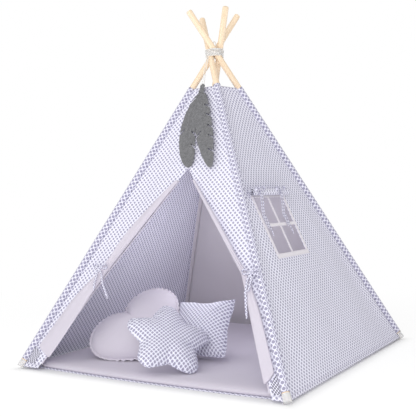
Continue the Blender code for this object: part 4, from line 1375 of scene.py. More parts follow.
def bow_tail(index, drop, root, run, place, wall, knot):
    """A tail with its creases, the knot at its end and the frayed cloth below that."""
    across, height = knot
    end = drop - TAIL_KNOT_ROOM
    guides = []
    for share in spaced(0, 1, 12):
        y = -TAIL_START - (end - TAIL_START) * share
        ease = smooth(share * 6)
        x = root * ease + run * max(0, share - 0.08)
        x += TAIL_WAVE * wander(share * 9, index * 5, across * 7) * ease
        guides.append(place(x, y, BOW_THICKNESS * 0.5))
    path = through(guides, 3)
    sides, wide, deep = [], [], []
    for k in range(len(path)):
        twist = 0.5 * wander(k * 0.35, index * 3.0, height * 9)
        sides.append(Matrix.Rotation(twist, 3, UP) @ wall.across)
        wide.append(TAIL_RIBBON + TAIL_RIBBON_WAVE * wander(k * 0.6, index, 3.7))
        deep.append(TAIL_THICKNESS + TAIL_THICKNESS_WAVE * wander(k * 0.9, index, 8.1))
    tip = path[-1]
    way = (path[-1] - path[-3]).normalized()
    start = tip + way * BOW_TAIL_WIDTH * 0.3
    fray = [start + way * FRAY_LENGTH * share for share in spaced(0, 1, 4)]
    flare = [FRAY_WIDTH + FRAY_FLARE * share for share in spaced(0, 1, 4)]
    return {
        f"tail_{index + 1}": ribbon(path, sides, wide, deep),
        f"tail_knot_{index + 1}": tail_knot(tip, way, wall.across),
        f"tail_end_{index + 1}": ribbon(fray, [wall.across] * 5, flare, FRAY_THICKNESS),
    }


def soft_bow(name, node, wall, knot, low, tails, long_side, spread, body):
    """A tied bow: two loops, a gathered knot and two creased tails that end in small knots."""
    across, height = knot

    def place(x, y, out):
        return wall.at(across + x, height + y, low(height + y) + out)

    made = {}
    for sign in (-1, 1):
        path = [place(x, y, BOW_THICKNESS * 0.5) for x, y in bow_loop(sign)]
        sides = [(wall.out * 0.55 + UP * 0.83).normalized()] * len(path)
        last = len(path) - 1
        wide = [BOW_LOOP_RIBBON * (0.62 + 0.38 * math.sin(math.pi * k / last)) for k in range(last + 1)]
        made[f"loop_{1 if sign < 0 else 2}"] = ribbon(path, sides, wide, BOW_RIBBON_THICKNESS)
    made["knot"] = bow_knot(place)
    root = sign_of(long_side) * (BOW_KNOT_WIDTH / 4 + BOW_TAIL_WIDTH / 2)
    made |= bow_tail(0, max(tails), root, sign_of(long_side) * spread, place, wall, knot)
    made |= bow_tail(1, min(tails), -root, 0, place, wall, knot)
    for label, rings in made.items():
        piece = add_loft(f"{name}_{label}", rings, printed_cotton("tie"))
        settle(piece, body, "lattice_print", node if label == "knot" else None)


def make_door_tie(side):
    wall = WALLS["front"]
    centre = flap_section(side, DOOR_TIE_HEIGHT)[0]
    knot = (centre + sign_of(side) * DOOR_TIE_SHIFT[side], DOOR_TIE_HEIGHT)
    free = DOOR_TIE_HEIGHT - DOOR_TAIL_FREE[side]

    def low(z):
        over = flap_section(side, max(z, free))[2]
        front = WALL_FABRIC / 2 + SEWN_GAP + 2 * over + SEWN_GAP
        return front - max(0, free - z) * math.sin(wall.lean)

    long_side = "right" if side == "left" else "left"
    tails, spread = DOOR_TAILS[side], DOOR_TAIL_SPREAD[side]
    name, node, body = "door_bow_" + side, "door_tie_" + side, side + "_door_edge"
    soft_bow(name, node, wall, knot, low, tails, long_side, spread, body)


# Window


TAPE_RIPPLE = 0.00025
TAPE_EDGE_SHARE = 0.35
TAPE_LIFT = 0.0001
TAPE_STITCH_INSET = 0.003
BAR_STITCH_INSET = 0.002
BAR_RUN = 0.004
UPRIGHT_BAR_OUT = WALL_FABRIC * 0.35
LEVEL_BAR_LOW = WALL_FABRIC * 0.30
LEVEL_BAR_HIGH = WALL_FABRIC * 0.95
# How many cells of tape lie before, across and after the opening, and below, beside and above it
TAPE_COLUMNS = (4, 30, 4)
TAPE_ROWS = (4, 28, 4)
BLIND_TURNS = 2.1
BLIND_STEPS = 84
BLIND_SLANT_SHARE = 0.8
BLIND_PINCH = 0.012


def tape_sheet(name, columns, heights, low, high, node=None, keep=None):
    """A flat piece of tape with soft edges, over a grid of places on the right wall."""
    wall = WALLS["right"]
    points, flat = [], []
    for z in heights:
        for x in columns:
            ripple = TAPE_RIPPLE * wander(x * 70, z * 70, 2.0)
            points.append(wall.at(x, z, (low + high) / 2 + ripple))
            flat.append(wall.flat(x, z))
    points, faces, corners = used_only(points, grid_faces(len(columns), len(heights), keep=keep), flat)
    obj = add_piece(name, points, faces, unprinted_cotton("tape"), corners)
    soften_edges(lay(obj, high - low), (high - low) * TAPE_EDGE_SHARE)
    settle(finish_modifiers(obj), "right_panel", "window_tape", node)


def make_window_tape():
    wall = WALLS["right"]
    left, right, sill, head = window_sides()
    columns = stations((left - WINDOW_TAPE, left, right, right + WINDOW_TAPE), TAPE_COLUMNS)
    heights = stations((sill - WINDOW_TAPE, sill, head, head + WINDOW_TAPE), TAPE_ROWS)
    low = WALL_FABRIC / 2 + TAPE_LIFT
    high = low + WINDOW_TAPE_THICKNESS
    keep = off_opening(TAPE_ROWS, TAPE_COLUMNS)
    tape_sheet("window_tape_ring", columns, heights, low, high, "window_frame", keep)
    for label, off in (("inner", TAPE_STITCH_INSET), ("outer", WINDOW_TAPE - TAPE_STITCH_INSET)):
        a, b, c, d = left - off, right + off, sill - off, head + off
        places = [(a, c), (b, c), (b, d), (a, d), (a, c)]
        route = [wall.at(a, c, high)]
        for (x0, z0), (x1, z1) in zip(places, places[1:]):
            route += [wall.at(x0 + (x1 - x0) * t, z0 + (z1 - z0) * t, high) for t in spaced(0, 1, 20)[1:]]
        stitch_row("window_stitch_" + label, route, wall.out, "right_panel", "window_tape")


def make_window_bars():
    """An upright and a level bar of folded tape, which cross in the opening and end under the ring."""
    wall = WALLS["right"]
    left, right, sill, head = window_sides()
    middle, level = (left + right) / 2, (sill + head) / 2
    half = WINDOW_BAR / 2
    columns, heights = spaced(middle - half, middle + half, 4), spaced(sill - BAR_RUN, head + BAR_RUN, 40)
    tape_sheet("window_bar_upright", columns, heights, -UPRIGHT_BAR_OUT, UPRIGHT_BAR_OUT, "window_crossbars")
    columns, heights = spaced(left - BAR_RUN, right + BAR_RUN, 40), spaced(level - half, level + half, 4)
    tape_sheet("window_bar_level", columns, heights, LEVEL_BAR_LOW, LEVEL_BAR_HIGH)
    for number, sign in ((1, -1), (2, 1)):
        off = sign * (half - BAR_STITCH_INSET)
        routes = {
            "upright": [wall.at(middle + off, z, UPRIGHT_BAR_OUT) for z in spaced(sill, head, 30)],
            "level": [wall.at(x, level + off, LEVEL_BAR_HIGH) for x in spaced(left, right, 30)],
        }
        for label, route in routes.items():
            name = f"window_bar_stitch_{label}_{number}"
            stitch_row(name, route, wall.out, "right_panel", "window_tape")


def make_blind():
    """The window's cover, rolled up: a spiral of cloth that bunches between its two ties."""
    wall = WALLS["right"]
    left, right = window_sides()[:2]
    start = left - BLIND_OVERHANG["front"] - BLIND_SAG * BLIND_SLANT_SHARE
    end = right + BLIND_OVERHANG["back"]
    base = WALL_FABRIC / 2 + SEWN_GAP + WINDOW_TAPE_THICKNESS
    radius = BLIND_DIAMETER / 2 + BLIND_FULLNESS
    ties = (left + WINDOW_TIE_INSET["front"], right - WINDOW_TIE_INSET["back"])
    rings = []
    for x in spaced(start, end, 110):
        pinch = sum(math.exp(-(((x - tie) / BLIND_PINCH) ** 2)) for tie in ties)
        outer, inner = [], []
        for share in spaced(0, 1, BLIND_STEPS):
            a = 2 * math.pi * BLIND_TURNS * share - math.pi / 2
            bunch = 1 - 0.05 * (0.5 + 0.5 * math.sin(5 * a + x * 95)) - 0.12 * min(1, pinch)
            bunch -= 0.035 * (0.5 + 0.5 * wander(x * 55, math.cos(a) * 1.6, math.sin(a) * 1.6))
            reach = radius * (0.30 + 0.70 * share) * bunch
            for target, r in ((outer, reach), (inner, reach - CLOTH)):
                rise = r * math.cos(wall.lean) * math.cos(a)
                target.append(wall.at(x, blind_height() - BLIND_SAG + rise, base + radius + r * math.sin(a)))
        rings.append(outer + inner[::-1])
    points, faces, corners = loft(rings, capped=False)
    width = len(rings[0])
    for row, turned in ((0, True), (len(rings) - 1, False)):
        for k in range(BLIND_STEPS):
            face = [row * width + i for i in (k, k + 1, width - 2 - k, width - 1 - k)]
            faces.append(tuple(face[::-1]) if turned else tuple(face))
            corners.append([(0, 0)] * 4)
    obj = add_piece("rolled_blind", points, faces, printed_cotton("wall"), corners)
    settle(obj, "right_panel", "lattice_print", "window_blind_roll")


def make_window_tie(name):
    wall = WALLS["right"]
    left, right = window_sides()[:2]
    across = left + WINDOW_TIE_INSET["front"] if name == "front" else right - WINDOW_TIE_INSET["back"]
    rest = WALL_FABRIC / 2 + SEWN_GAP + WINDOW_TAPE_THICKNESS + SEWN_GAP
    top = WALL_FABRIC / 2 + 2 * SEWN_GAP + WINDOW_TAPE_THICKNESS + BLIND_DIAMETER + BLIND_FULLNESS

    def low(z):
        return max(rest, top - max(0, blind_height() - BLIND_DIAMETER / 2 - z) * math.sin(wall.lean))

    knot = (across, blind_height() - BLIND_SAG)
    label, node = "window_bow_" + name, "window_tie_" + name
    soft_bow(label, node, wall, knot, low, WINDOW_TAILS, "right", 0, "right_panel")


# Lashing, loop and the feathers' cord


def crossing_hull(height, angle, clear):
    """Where a cord round the poles runs at this height, with room for them to stand upright."""
    facing = Vector((math.cos(angle), math.sin(angle), 0))
    above = height - CROSSING_HEIGHT
    best = None
    for pole in POLES.values():
        for tilt in (pole.tilt, 0):
            centre = pole.waist + UP * above - pole.outward * above * math.tan(tilt)
            long_axis = POLE_RADIUS / math.cos(tilt)
            outward, sideways = facing.dot(pole.outward), facing.dot(pole.tangent)
            reach = math.hypot(long_axis * outward, POLE_RADIUS * sideways)
            if best is None or centre.dot(facing) + reach > best[0]:
                section = pole.outward * long_axis**2 * outward + pole.tangent * POLE_RADIUS**2 * sideways
                best = (centre.dot(facing) + reach, centre + section / reach)
    return best[1] + facing * clear


def lashing_height(turn):
    return CROSSING_HEIGHT + (turn - LASHING_TURNS / 2) * (LASHING_CORD + LASHING_TURN_GAP)


def lashing_clear():
    return LASHING_CORD / 2 / math.cos(POLES["front_left"].tilt) + LASHING_FIT


def make_lashing():
    route = []
    for turn in spaced(0, LASHING_TURNS, 40 * LASHING_TURNS):
        route.append(crossing_hull(lashing_height(turn), 2 * math.pi * turn, lashing_clear()))
    cord = add_loft("lashing_turns", tube(route, LASHING_CORD / 2), twisted_cord())
    settle(cord, "crown", "cord", "lashing_cord")


def make_hanging_loop():
    """The loop that the tent is lifted by, drawn narrow where it passes between the poles."""
    pole = POLES["front_right"]
    dip = LOOP_WIDTH
    height = LOOP_HEIGHT + dip
    at_waist = math.acos(1 - 2 * dip / height)
    held = pole.waist_radius - POLE_RADIUS - LOOP_CORD / 2 - LASHING_FIT
    narrow = held / math.sin(at_waist)
    route = []
    for a in turns(72):
        share = (1 - math.cos(a)) / 2
        half = narrow + (LOOP_WIDTH / 2 - narrow) * max(0, share - dip / height)
        route.append(UP * (CROSSING_HEIGHT - dip + height * share) + pole.tangent * half * math.sin(a))
    loop = add_loft("hanging_loop", tube(route, LOOP_CORD / 2, closed=True), twisted_cord(), capped=False)
    settle(loop, "crown", "cord", "lashing_loop")
    tuple(pole.tangent)
    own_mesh(loop)


def feather_axes():
    """The eyelet's place, and the ways right, down and outwards of the plane that the feathers hang in."""
    wall = WALLS["front"]
    place = wall.at(-EYELET_OFFSET, COVER_TOP - EYELET_DROP, FEATHER_STANDOFF)
    down = Matrix.Rotation(FEATHER_TILT_IN, 3, wall.across) @ wall.across.cross(wall.out)
    right = Matrix.Rotation(FEATHER_YAW, 3, down) @ wall.across
    return place, right, down, down.cross(right)


def cord_seat(off):
    angle = off - math.pi / 2
    facing = Vector((math.cos(angle), math.sin(angle), 0))
    clear = lashing_clear() + LASHING_CORD / 2 / math.cos(POLES["front_left"].tilt) + SEWN_GAP
    return crossing_hull(lashing_height(1), angle, clear), facing


def eased(a, b):
    """Points between two guides that lie far apart, close together near both."""
    span = (b - a).length
    shares = [near / span for near in CORD_EASE]
    return [a.lerp(b, share) for share in shares] + [a.lerp(b, 1 - share) for share in shares[::-1]]


def make_feather_cord():
    """One cord from the lashing, through both eyelets from front to back, and up to the lashing again."""
    eyelet, _, down, outward = feather_axes()
    front = 2 * FEATHER_FELT + FEATHER_GAP
    beside = FEATHER_CORD
    seat = EYELET_DIAMETER / 2 - FEATHER_CORD / 2 - SEAT_GAP
    first, first_way = cord_seat(-CORD_SEAT_ANGLE)
    last, last_way = cord_seat(CORD_SEAT_ANGLE)
    away = 2 * FEATHER_CORD
    leaving = first + first_way * away - UP * FEATHER_CORD
    arriving = eyelet + outward * (front + beside) - down * 2 * EYELET_COLLAR
    rising = eyelet - outward * beside - down * 2 * EYELET_COLLAR
    returning = last + last_way * away - UP * FEATHER_CORD
    guides = [
        first,
        leaving,
        *eased(leaving, arriving),
        arriving,
        eyelet + outward * (front + beside) - down * EYELET_COLLAR / 2,
        eyelet + outward * front - down * seat,
        eyelet + outward * front / 2 - down * seat,
        eyelet - down * seat,
        eyelet - outward * beside - down * EYELET_COLLAR / 2,
        rising,
        *eased(rising, returning),
        returning,
        last,
    ]
    route = through(guides, pitch=FEATHER_CORD)
    length = sum((b - a).length for a, b in zip(route, route[1:]))
    cord = add_loft("feather_hanging_cord", tube(route, FEATHER_CORD / 2), twisted_cord())
    settle(cord, "feather_hanger", "cord", "feather_cord")
    tuple(first)
    [tuple(p) for p in route]


# Feathers


FELT_SHARE = 0.96
FELT_EDGE_SHARE = 0.22
QUILL_SEAT_SHARE = 0.98
QUILL_PITCH = 0.0048
QUILL_LENGTH = 0.0036
QUILL_RADIUS = 0.00055
FLAT_LIMIT = 1e-6


def feather_half(share):
    for (low, a), (high, b) in zip(FEATHER_SHARES, FEATHER_SHARES[1:]):
        if low <= share <= high:
            return FEATHER_WIDTH * (a + (b - a) * smooth((share - low) / (high - low)))
    return 0


def feather_bend(side, share):
    return FEATHER_BEND_SHARES[side] * FEATHER_LENGTH[side] * math.sin(math.pi * share)


def feather_edge(side, sign, notches):
    """One edge from the top down as (across, down), with a slanting cut at each notch."""
    length = FEATHER_LENGTH[side]
    gap = NOTCH_MOUTH / length
    stations = [s for s in spaced(0, 0.99, 66) if all(not (n - 1.5 * gap < s < n + gap) for n in notches)]
    edge = []
    for share in sorted(set(stations) | set(notches)):
        taper = 1 - FEATHER_TAPER_SHARE[side] * smooth((share - 0.55) / 0.45)
        across = feather_bend(side, share) + sign * feather_half(share) * taper
        if share in notches:
            cut = NOTCH_DEPTH_SHARE * FEATHER_WIDTH
            rise = NOTCH_RISE_SHARE * length
            edge.append((across, share * length - NOTCH_MOUTH))
            edge.append((across - sign * cut, share * length - rise - NOTCH_END / 2))
            edge.append((across - sign * cut, share * length - rise + NOTCH_END / 2))
            across += sign * cut / 20
        edge.append((across, share * length))
    return edge


def within(point, outline):
    """Whether a flat point lies inside a closed outline."""
    found = False
    for a, b in zip(outline, outline[1:] + outline[:1]):
        if (a[1] > point.y) != (b[1] > point.y):
            cross = a[0] + (point.y - a[1]) / (b[1] - a[1]) * (b[0] - a[0])
            found = found != (point.x < cross)
    return found


def make_feather(side):
    """Cut felt with a rounded edge, a hole for its cord and a stitched quill down its middle."""
    eyelet, right, down, outward = feather_axes()
    turn = Matrix.Rotation(FEATHER_ANGLE[side], 3, outward)
    right, down = turn @ right, turn @ down
    low = 0 if side == "left" else FEATHER_FELT + FEATHER_GAP
    on_right, on_left = NOTCH_SHARES[side]
    length = FEATHER_LENGTH[side]
    collar = FEATHER_SHARES[0][1] * FEATHER_WIDTH
    top = [(collar * math.cos(a), -collar * math.sin(a)) for a in spaced(0, math.pi, 12)][1:-1]
    outline = feather_edge(side, -1, on_left) + [(0, length)] + feather_edge(side, 1, on_right)[::-1] + top
    reach = EYELET_DIAMETER / 2
    hole = [Vector((math.cos(a), math.sin(a))) * reach for a in turns(16)]
    flat = [Vector(p) for p in outline] + hole
    first = len(outline)
    rims = [(k, (k + 1) % first) for k in range(first)]
    rims += [(first + k, first + (k + 1) % 16) for k in range(16)]
    spots, _, triangles = delaunay_2d_cdt(flat, rims, [], 1, FLAT_LIMIT, False)[:3]
    work = bmesh.new()
    corners = [work.verts.new((spot.x, spot.y, 0)) for spot in spots]
    for triangle in triangles:
        middle = sum((spots[i] for i in triangle), Vector((0, 0))) / 3
        if middle.length > reach * 0.98 and within(middle, outline):
            work.faces.new([corners[i] for i in triangle])
    for vertex in work.verts:
        x, y = vertex.co.x, vertex.co.y
        vertex.co = eyelet + right * x + down * y + outward * (low + FEATHER_FELT / 2)
    bmesh.ops.recalc_face_normals(work, faces=work.faces)
    mesh = bpy.data.meshes.new("feather")
    work.to_mesh(mesh)
    work.free()
    mesh.materials.append(felt())
    obj = new_object("felt_feather_" + side, mesh)
    soften_edges(lay(obj, FEATHER_FELT * FELT_SHARE), FEATHER_FELT * FELT_EDGE_SHARE, math.radians(60))
    settle(finish_modifiers(obj), side + "_feather", "felt", "feather_" + side)
    face = outward * (low + FEATHER_FELT * QUILL_SEAT_SHARE)
    route = []
    for share in spaced(0.07, 0.93, 60):
        route.append(eyelet + right * feather_bend(side, share) + down * share * length + face)
    stitch_row("feather_quill_" + side, route, outward, side + "_feather", "felt", finish=felt(),
               pitch=QUILL_PITCH, length=QUILL_LENGTH, radius=QUILL_RADIUS)


# Mat


MAT_FOOT = MAT_SHEET_THICKNESS + SEAT_GAP
# Down the pad's side, over its seam and onto its top: metres out of its edge, and the height
MAT_SIDE = (
    (-0.020, MAT_FOOT + 0.0004),
    (-0.007, MAT_FOOT + 0.0008),
    (-0.0022, MAT_FOOT + 0.0035),
    (-0.0002, MAT_FOOT + 0.008),
    (0, MAT_FOOT + 0.012),
    (-0.0012, MAT_TOP - 0.011),
    (-0.0042, MAT_TOP - 0.0070),
    (-0.0090, MAT_TOP - 0.0040),
    (-0.0160, MAT_TOP - 0.0020),
    (-0.0260, MAT_TOP - 0.0006),
    (-0.0380, MAT_TOP),
)
MAT_BASE_SIDE = ((0.002, 0.0), (0.004, 0.0008), (0.004, 0.0022), (0.0015, 0.003), (-0.02, 0.003))
# Where the cushions press into the mat, how far round and how deep
MAT_DENTS = (
    (STAR_PLACE_SHARES, 0.13, 0.0015),
    (HEART_PLACE_SHARES, 0.15, 0.0015),
    (SQUARE_PLACE_SHARES, 0.13, 0.0010),
)
MAT_WANDER = 0.0008
MAT_FINE_WANDER = 0.0004
MAT_PUCKER = 0.0008
MAT_PUCKER_OVER = 0.004
MAT_CALM = 0.01
MAT_STITCH_DROP = 0.0075
MAT_STITCH_INSET = 0.0008


def mat_outline(grow):
    """A square with round corners, its front edge bowed a little forwards."""
    half = MAT_HALF + grow
    radius = MAT_CORNER + grow
    centres = ((1, 1), (-1, 1), (-1, -1), (1, -1))

    def corner(quarter, share):
        x, y = centres[quarter % 4]
        a = math.pi / 2 * share
        return x * (half - radius) + radius * math.cos(a), y * (half - radius) + radius * math.sin(a)

    outline = []
    for quarter in range(4):
        outline += [corner(quarter, share) for share in spaced(quarter, quarter + 1, 10)]
        begin, end = outline[-1], corner(quarter + 1, quarter + 1)
        for share in spaced(0, 1, 36)[1:-1]:
            outline.append((begin[0] + (end[0] - begin[0]) * share, begin[1] + (end[1] - begin[1]) * share))
    bowed = []
    for x, y in outline:
        front = max(0, -y / half) ** 4
        bowed.append((x, y - MAT_FRONT_BOW * front * (1 - (x / half) ** 2)))
    return bowed


def pressed(x, y):
    """How far the mat's top gives under its cushions and wanders between its seams."""
    dent = 0
    for shares, reach, depth in MAT_DENTS:
        far = math.hypot(x - shares[0] * MAT_HALF, y - shares[1] * MAT_HALF)
        dent += depth * (1 - smooth(far / reach / 1.4))
    coarse = MAT_WANDER * wander(x * 9, y * 9, 4.4)
    return dent + MAT_WANDER + coarse + MAT_FINE_WANDER * wander(x * 30, y * 22, 8.8)


def make_mat():
    """A padded top that swells from its seam, over a printed underside that shows as a narrow edge."""
    rings = []
    for grow, z in MAT_SIDE:
        rise, fall = smooth((z - MAT_FOOT) / MAT_CALM), smooth((MAT_TOP + MAT_PUCKER_OVER - z) / MAT_CALM)
        ring = []
        for k, (x, y) in enumerate(mat_outline(grow)):
            ring.append(Vector((x, y, z + MAT_PUCKER * wander(k * 0.8, z * 90, 2.2) * rise * fall)))
        rings.append(ring)
    for share in spaced(1, 0.03, 34)[1:]:
        ring = []
        for x, y in mat_outline(MAT_SIDE[-1][0]):
            give = pressed(x * share, y * share) * smooth((1 - share) * 12)
            ring.append(Vector((x * share, y * share, MAT_TOP - give)))
        rings.append(ring)
    points, faces = loft(rings)[:2]
    flat = [[(points[i].x, points[i].y + points[i].z) for i in face] for face in faces]
    pad = add_piece("mat_padding", points, faces, unprinted_cotton("plain"), flat)
    settle(pad, "mat", "plain_cotton", "mat_pad")
    route = [Vector((x, y, MAT_TOP - MAT_STITCH_DROP)) for x, y in mat_outline(-MAT_STITCH_INSET)]
    away = [Vector((p.x, p.y, 0)).normalized() for p in route]
    stitch_row("mat_seam_stitch", route + route[:1], away + away[:1], "mat", "plain_cotton")
    rings = [[Vector((x, y, z)) for x, y in mat_outline(grow)] for grow, z in MAT_BASE_SIDE]
    base = add_loft("mat_printed_base", rings, printed_cotton("wall"))
    settle(base, "mat", "lattice_print", "mat_underside")


# Cushions


OUTLINE_POINTS = 160
CUSHION_RINGS = 18
PUCKER_PITCH = 0.021
PUCKER_DEPTH = 0.0048
COVER_EDGE = 0.0007
PRINT_SHIFT = 0.004
LIP_HALF = 0.0011
STAR_SEAM_PITCH = 0.06
STAR_SEAM_LEAN = 0.0004
FRILL_PITCH = 0.020
FRILL_LEAN = 0.0045


def star_radius(turn):
    spread = math.radians(36)
    inner = STAR_INNER_SHARE * math.sin(spread)

    def line(a):
        return inner / (math.sin(a) + STAR_INNER_SHARE * math.sin(spread - a))

    off = abs((turn + spread) % (2 * spread) - spread)
    rounded = min(spread, (off**4 + STAR_TIP_ANGLE**4) ** 0.25)
    return STAR_RADIUS * line(rounded) / line(STAR_TIP_ANGLE)


def star_place(turn):
    up = turn + math.pi / 2
    return star_radius(turn) * math.cos(up), star_radius(turn) * math.sin(up)


def heart_place(turn):
    x = 16 * math.sin(-turn) ** 3
    y = 13 * math.cos(turn) - 5 * math.cos(2 * turn) - 2 * math.cos(3 * turn) - math.cos(4 * turn)
    y += HEART_CLEFT_FILL * math.exp(-((min(turn, 2 * math.pi - turn) / 0.55) ** 2))
    return x / 32 * HEART_WIDTH, y / 32 * HEART_WIDTH


def square_place(turn):
    off = (turn + math.pi / 4) % (math.pi / 2) - math.pi / 4
    radius = SQUARE_SIDE / 2 / math.cos(off) * (1 - SQUARE_DRAWN_IN_SHARE * math.cos(2 * off) ** 2)
    return radius * math.cos(turn), radius * math.sin(turn)


# Each cushion's outline, thickness, place as shares of the mat, facing and seed
CUSHIONS = {
    "star": (star_place, STAR_THICKNESS, STAR_PLACE_SHARES, STAR_FACING, 1.7),
    "heart": (heart_place, HEART_THICKNESS, HEART_PLACE_SHARES, HEART_FACING, 4.9),
    "square": (square_place, SQUARE_THICKNESS, SQUARE_PLACE_SHARES, SQUARE_FACING, 8.3),
}


def cushion_axes(facing, rise, roll):
    """The turn from a cushion that lies flat to one that leans back, from angles in degrees."""
    facing, rise, roll = math.radians(facing), math.radians(rise), math.radians(roll)
    normal = Vector((math.sin(facing) * math.cos(rise), -math.cos(facing) * math.cos(rise), math.sin(rise)))
    right = UP.cross(normal).normalized()
    return Matrix((right, normal.cross(right), normal)).transposed() @ Matrix.Rotation(roll, 3, "Z")


def make_cushion(name, finish, slot, depth, pitch, lean):
    """A stuffed cover that swells from its seam, with puckers along the seam and a stitched lip round it."""
    place_on, thickness, place_shares, facing, seed = CUSHIONS[name]
    outline = [place_on(turn) for turn in turns(OUTLINE_POINTS)]
    axes = cushion_axes(*facing)
    near, far = CROWN_POWER_SHARES
    run = [0]
    for a, b in zip(outline, outline[1:]):
        run.append(run[-1] + math.hypot(b[0] - a[0], b[1] - a[1]))

    def height(share, side, k, x, y):
        crown = max(0, 1 - share**near) ** far
        pucker = math.sin(2 * math.pi * run[k] / PUCKER_PITCH + 4 * wander(run[k] * 14, side, seed))
        pucker *= 0.6 + 0.8 * wander(run[k] * 30, share * 3, seed + 5)
        near_seam = smooth((share - 0.35) / 0.5) * smooth((1.02 - share) / 0.06)
        soft = wander(x * 12, y * 12, seed + side)
        tone = crown * (1 - 0.05 * (0.5 + 0.5 * soft)) * thickness / 2
        return side * (tone - PUCKER_DEPTH * (0.5 + 0.5 * pucker) * near_seam)

    shares = [math.sin(math.pi / 2 * k / CUSHION_RINGS) ** 0.9 for k in range(1, CUSHION_RINGS)]
    levels = [(share, -1) for share in (*shares, 1.0)] + [(share, 1) for share in (1.0, *shares[::-1])]
    rings, prints = [], []
    for share, side in levels:
        ring = []
        for k, (x, y) in enumerate(outline):
            x, y = x * share, y * share
            z = side * COVER_EDGE if share == 1.0 else height(share, side, k, x, y)
            ring.append(Vector((x, y, z)))
            prints.append((x + (PRINT_SHIFT if side > 0 else 0), y))
        rings.append(ring)
    points, faces = loft(rings)[:2]
    turned = [axes @ p for p in points]
    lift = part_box("cushion_" + name)[0].z + SEAT_GAP - min(p.z for p in turned)
    centre = Vector((place_shares[0] * MAT_HALF, place_shares[1] * MAT_HALF, lift))
    corners = [[prints[i] for i in face] for face in faces]
    cover = add_piece(name + "_cushion_cover", [p + centre for p in turned], faces, finish, corners)
    settle(cover, name + "_cushion", slot, "cushion_" + name)

    rings = []
    for k, (x, y) in enumerate(outline):
        before, after = outline[k - 1], outline[(k + 1) % OUTLINE_POINTS]
        way = Vector((after[0] - before[0], after[1] - before[1], 0)).normalized()
        out = Vector((way.y, -way.x, 0))
        reach = depth * (1 + 0.35 * math.sin(2 * math.pi * run[k] / pitch))
        leaning = UP * lean * math.cos(2 * math.pi * run[k] / pitch)
        ring = []
        for a in turns(10):
            swell = reach * 0.45 + reach * 0.62 * math.cos(a)
            point = Vector((x, y, 0)) + out * swell + UP * LIP_HALF * math.sin(a)
            ring.append(point + leaning * (0.5 + 0.5 * math.cos(a)))
        rings.append(ring)
    points, faces, corners = loft(rings + rings[:1], capped=False)
    points = [axes @ p + centre for p in points]
    lip = add_piece(name + "_cushion_seam", points, faces, finish, corners)
    settle(joined_middle(lip), name + "_cushion", slot)


# What a user can change


def colour_property(name, description, colour):
    return bpy.props.FloatVectorProperty(
        name=name, description=description, subtype="COLOR", size=3, min=0, max=1, default=srgb(*colour)[:3]
    )


def length_property(name, description, value, most):
    return bpy.props.FloatProperty(
        name=name, description=description, unit="LENGTH", min=0, max=most, default=value, precision=4
    )


def power_property(name, description, value):
    return bpy.props.FloatProperty(name=name, description=description, subtype="POWER", min=0, default=value)


class TeepeeCloth(bpy.types.PropertyGroup):
    ground: colour_property("Print ground", "Cotton between the dots of the print", (237, 236, 249))
    dot: colour_property("Print dots", "Dots of the print", (152, 149, 174))
    # The wrong side's real print, with its dots darkened as painted shade in the fold
    shaded_tuck_dot: colour_property("Wrong side dots", "Dots where the cover's wrong side shows", (98, 96, 114))
    plain: colour_property("Plain cotton", "Flaps, mat and heart", (209, 203, 215))
    # Plain cotton set a little darker, as painted shade of the tent's inside
    shaded: colour_property("Back wall", "Cotton of the back wall", (204, 199, 206))
    tape: colour_property("Window tape", "Tape round the window", (236, 231, 237))
    thread: colour_property("Thread", "Sewing thread", (200, 199, 214))
    cover_cell: length_property("Cover print cell", "Size of the cell on walls and sleeves", 0.0202, 0.1)
    cushion_cell: length_property("Cushion print cell", "Size of the print's cell on cushions", 0.0165, 0.1)
    wall_slack: length_property("Wall slack", "How far the walls sag inwards", 0.004, 0.02)
    wall_folds: length_property("Wall folds", "Height of the soft folds in the walls", 0.004, 0.02)


class TeepeeFrame(bpy.types.PropertyGroup):
    light_wood: colour_property("Light wood", "Pine between its rings", (250, 230, 203))
    dark_wood: colour_property("Dark wood", "Pine in its rings", (228, 196, 160))
    cap_tint: colour_property("Foot caps", "Tint of the clear foot caps", (250, 250, 252))


class TeepeeSoft(bpy.types.PropertyGroup):
    dark_wool: colour_property("Dark wool", "Darkest fibres of the feathers", (74, 74, 76))
    light_wool: colour_property("Light wool", "Lightest fibres of the feathers", (142, 142, 145))
    cord_colour: colour_property("Cord", "Cotton cord of the lashing", (248, 246, 243))
    heart_frill: length_property("Heart frill", "Depth of the scalloped edge of the heart", 0.0085, 0.02)
    cushion_seam: length_property("Cushion seam", "Depth of the seam round star and square", 0.0022, 0.01)


class TeepeeLight(bpy.types.PropertyGroup):
    key_power: power_property("Key light", "Soft lamp at the front left", 19)
    fill_power: power_property("Fill light", "Large lamp beside the camera", 62)
    inside_power: power_property("Light inside", "Light that the thin cloth lets through", 2.3)
    sky_strength: bpy.props.FloatProperty(
        name="Sky", description="Even light from all round", min=0, max=2, default=0.62
    )
    shadow_share: bpy.props.FloatProperty(
        name="Floor shadow", description="Share of the floor's colour that takes light and shadow",
        subtype="FACTOR", min=0, max=1, default=0.4
    )


# Operators


UNDOABLE = {"REGISTER", "UNDO"}


class AddPoles(bpy.types.Operator):
    """Gives the four poles their pine and the foot caps their clear plastic"""

    bl_idname = "teepee.add_poles"
    bl_label = "Poles and foot caps"
    bl_options = UNDOABLE

    def execute(self, context):
        for name, pole in POLES.items():
            wood = pine("pine " + name.replace("_", " "), pole)
            for node, finish in (("pole_" + name, wood), ("foot_cap_" + name, clear_plastic())):
                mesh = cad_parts[node].data
                mesh.materials.clear()
                mesh.materials.append(finish)
        return {"FINISHED"}


class AddSleeves(bpy.types.Operator):
    """Sews a printed sleeve round each pole"""

    bl_idname = "teepee.add_sleeves"
    bl_label = "Pole sleeves"
    bl_options = UNDOABLE

    def execute(self, context):
        for name, pole in POLES.items():
            make_sleeve(name, pole)
        return {"FINISHED"}


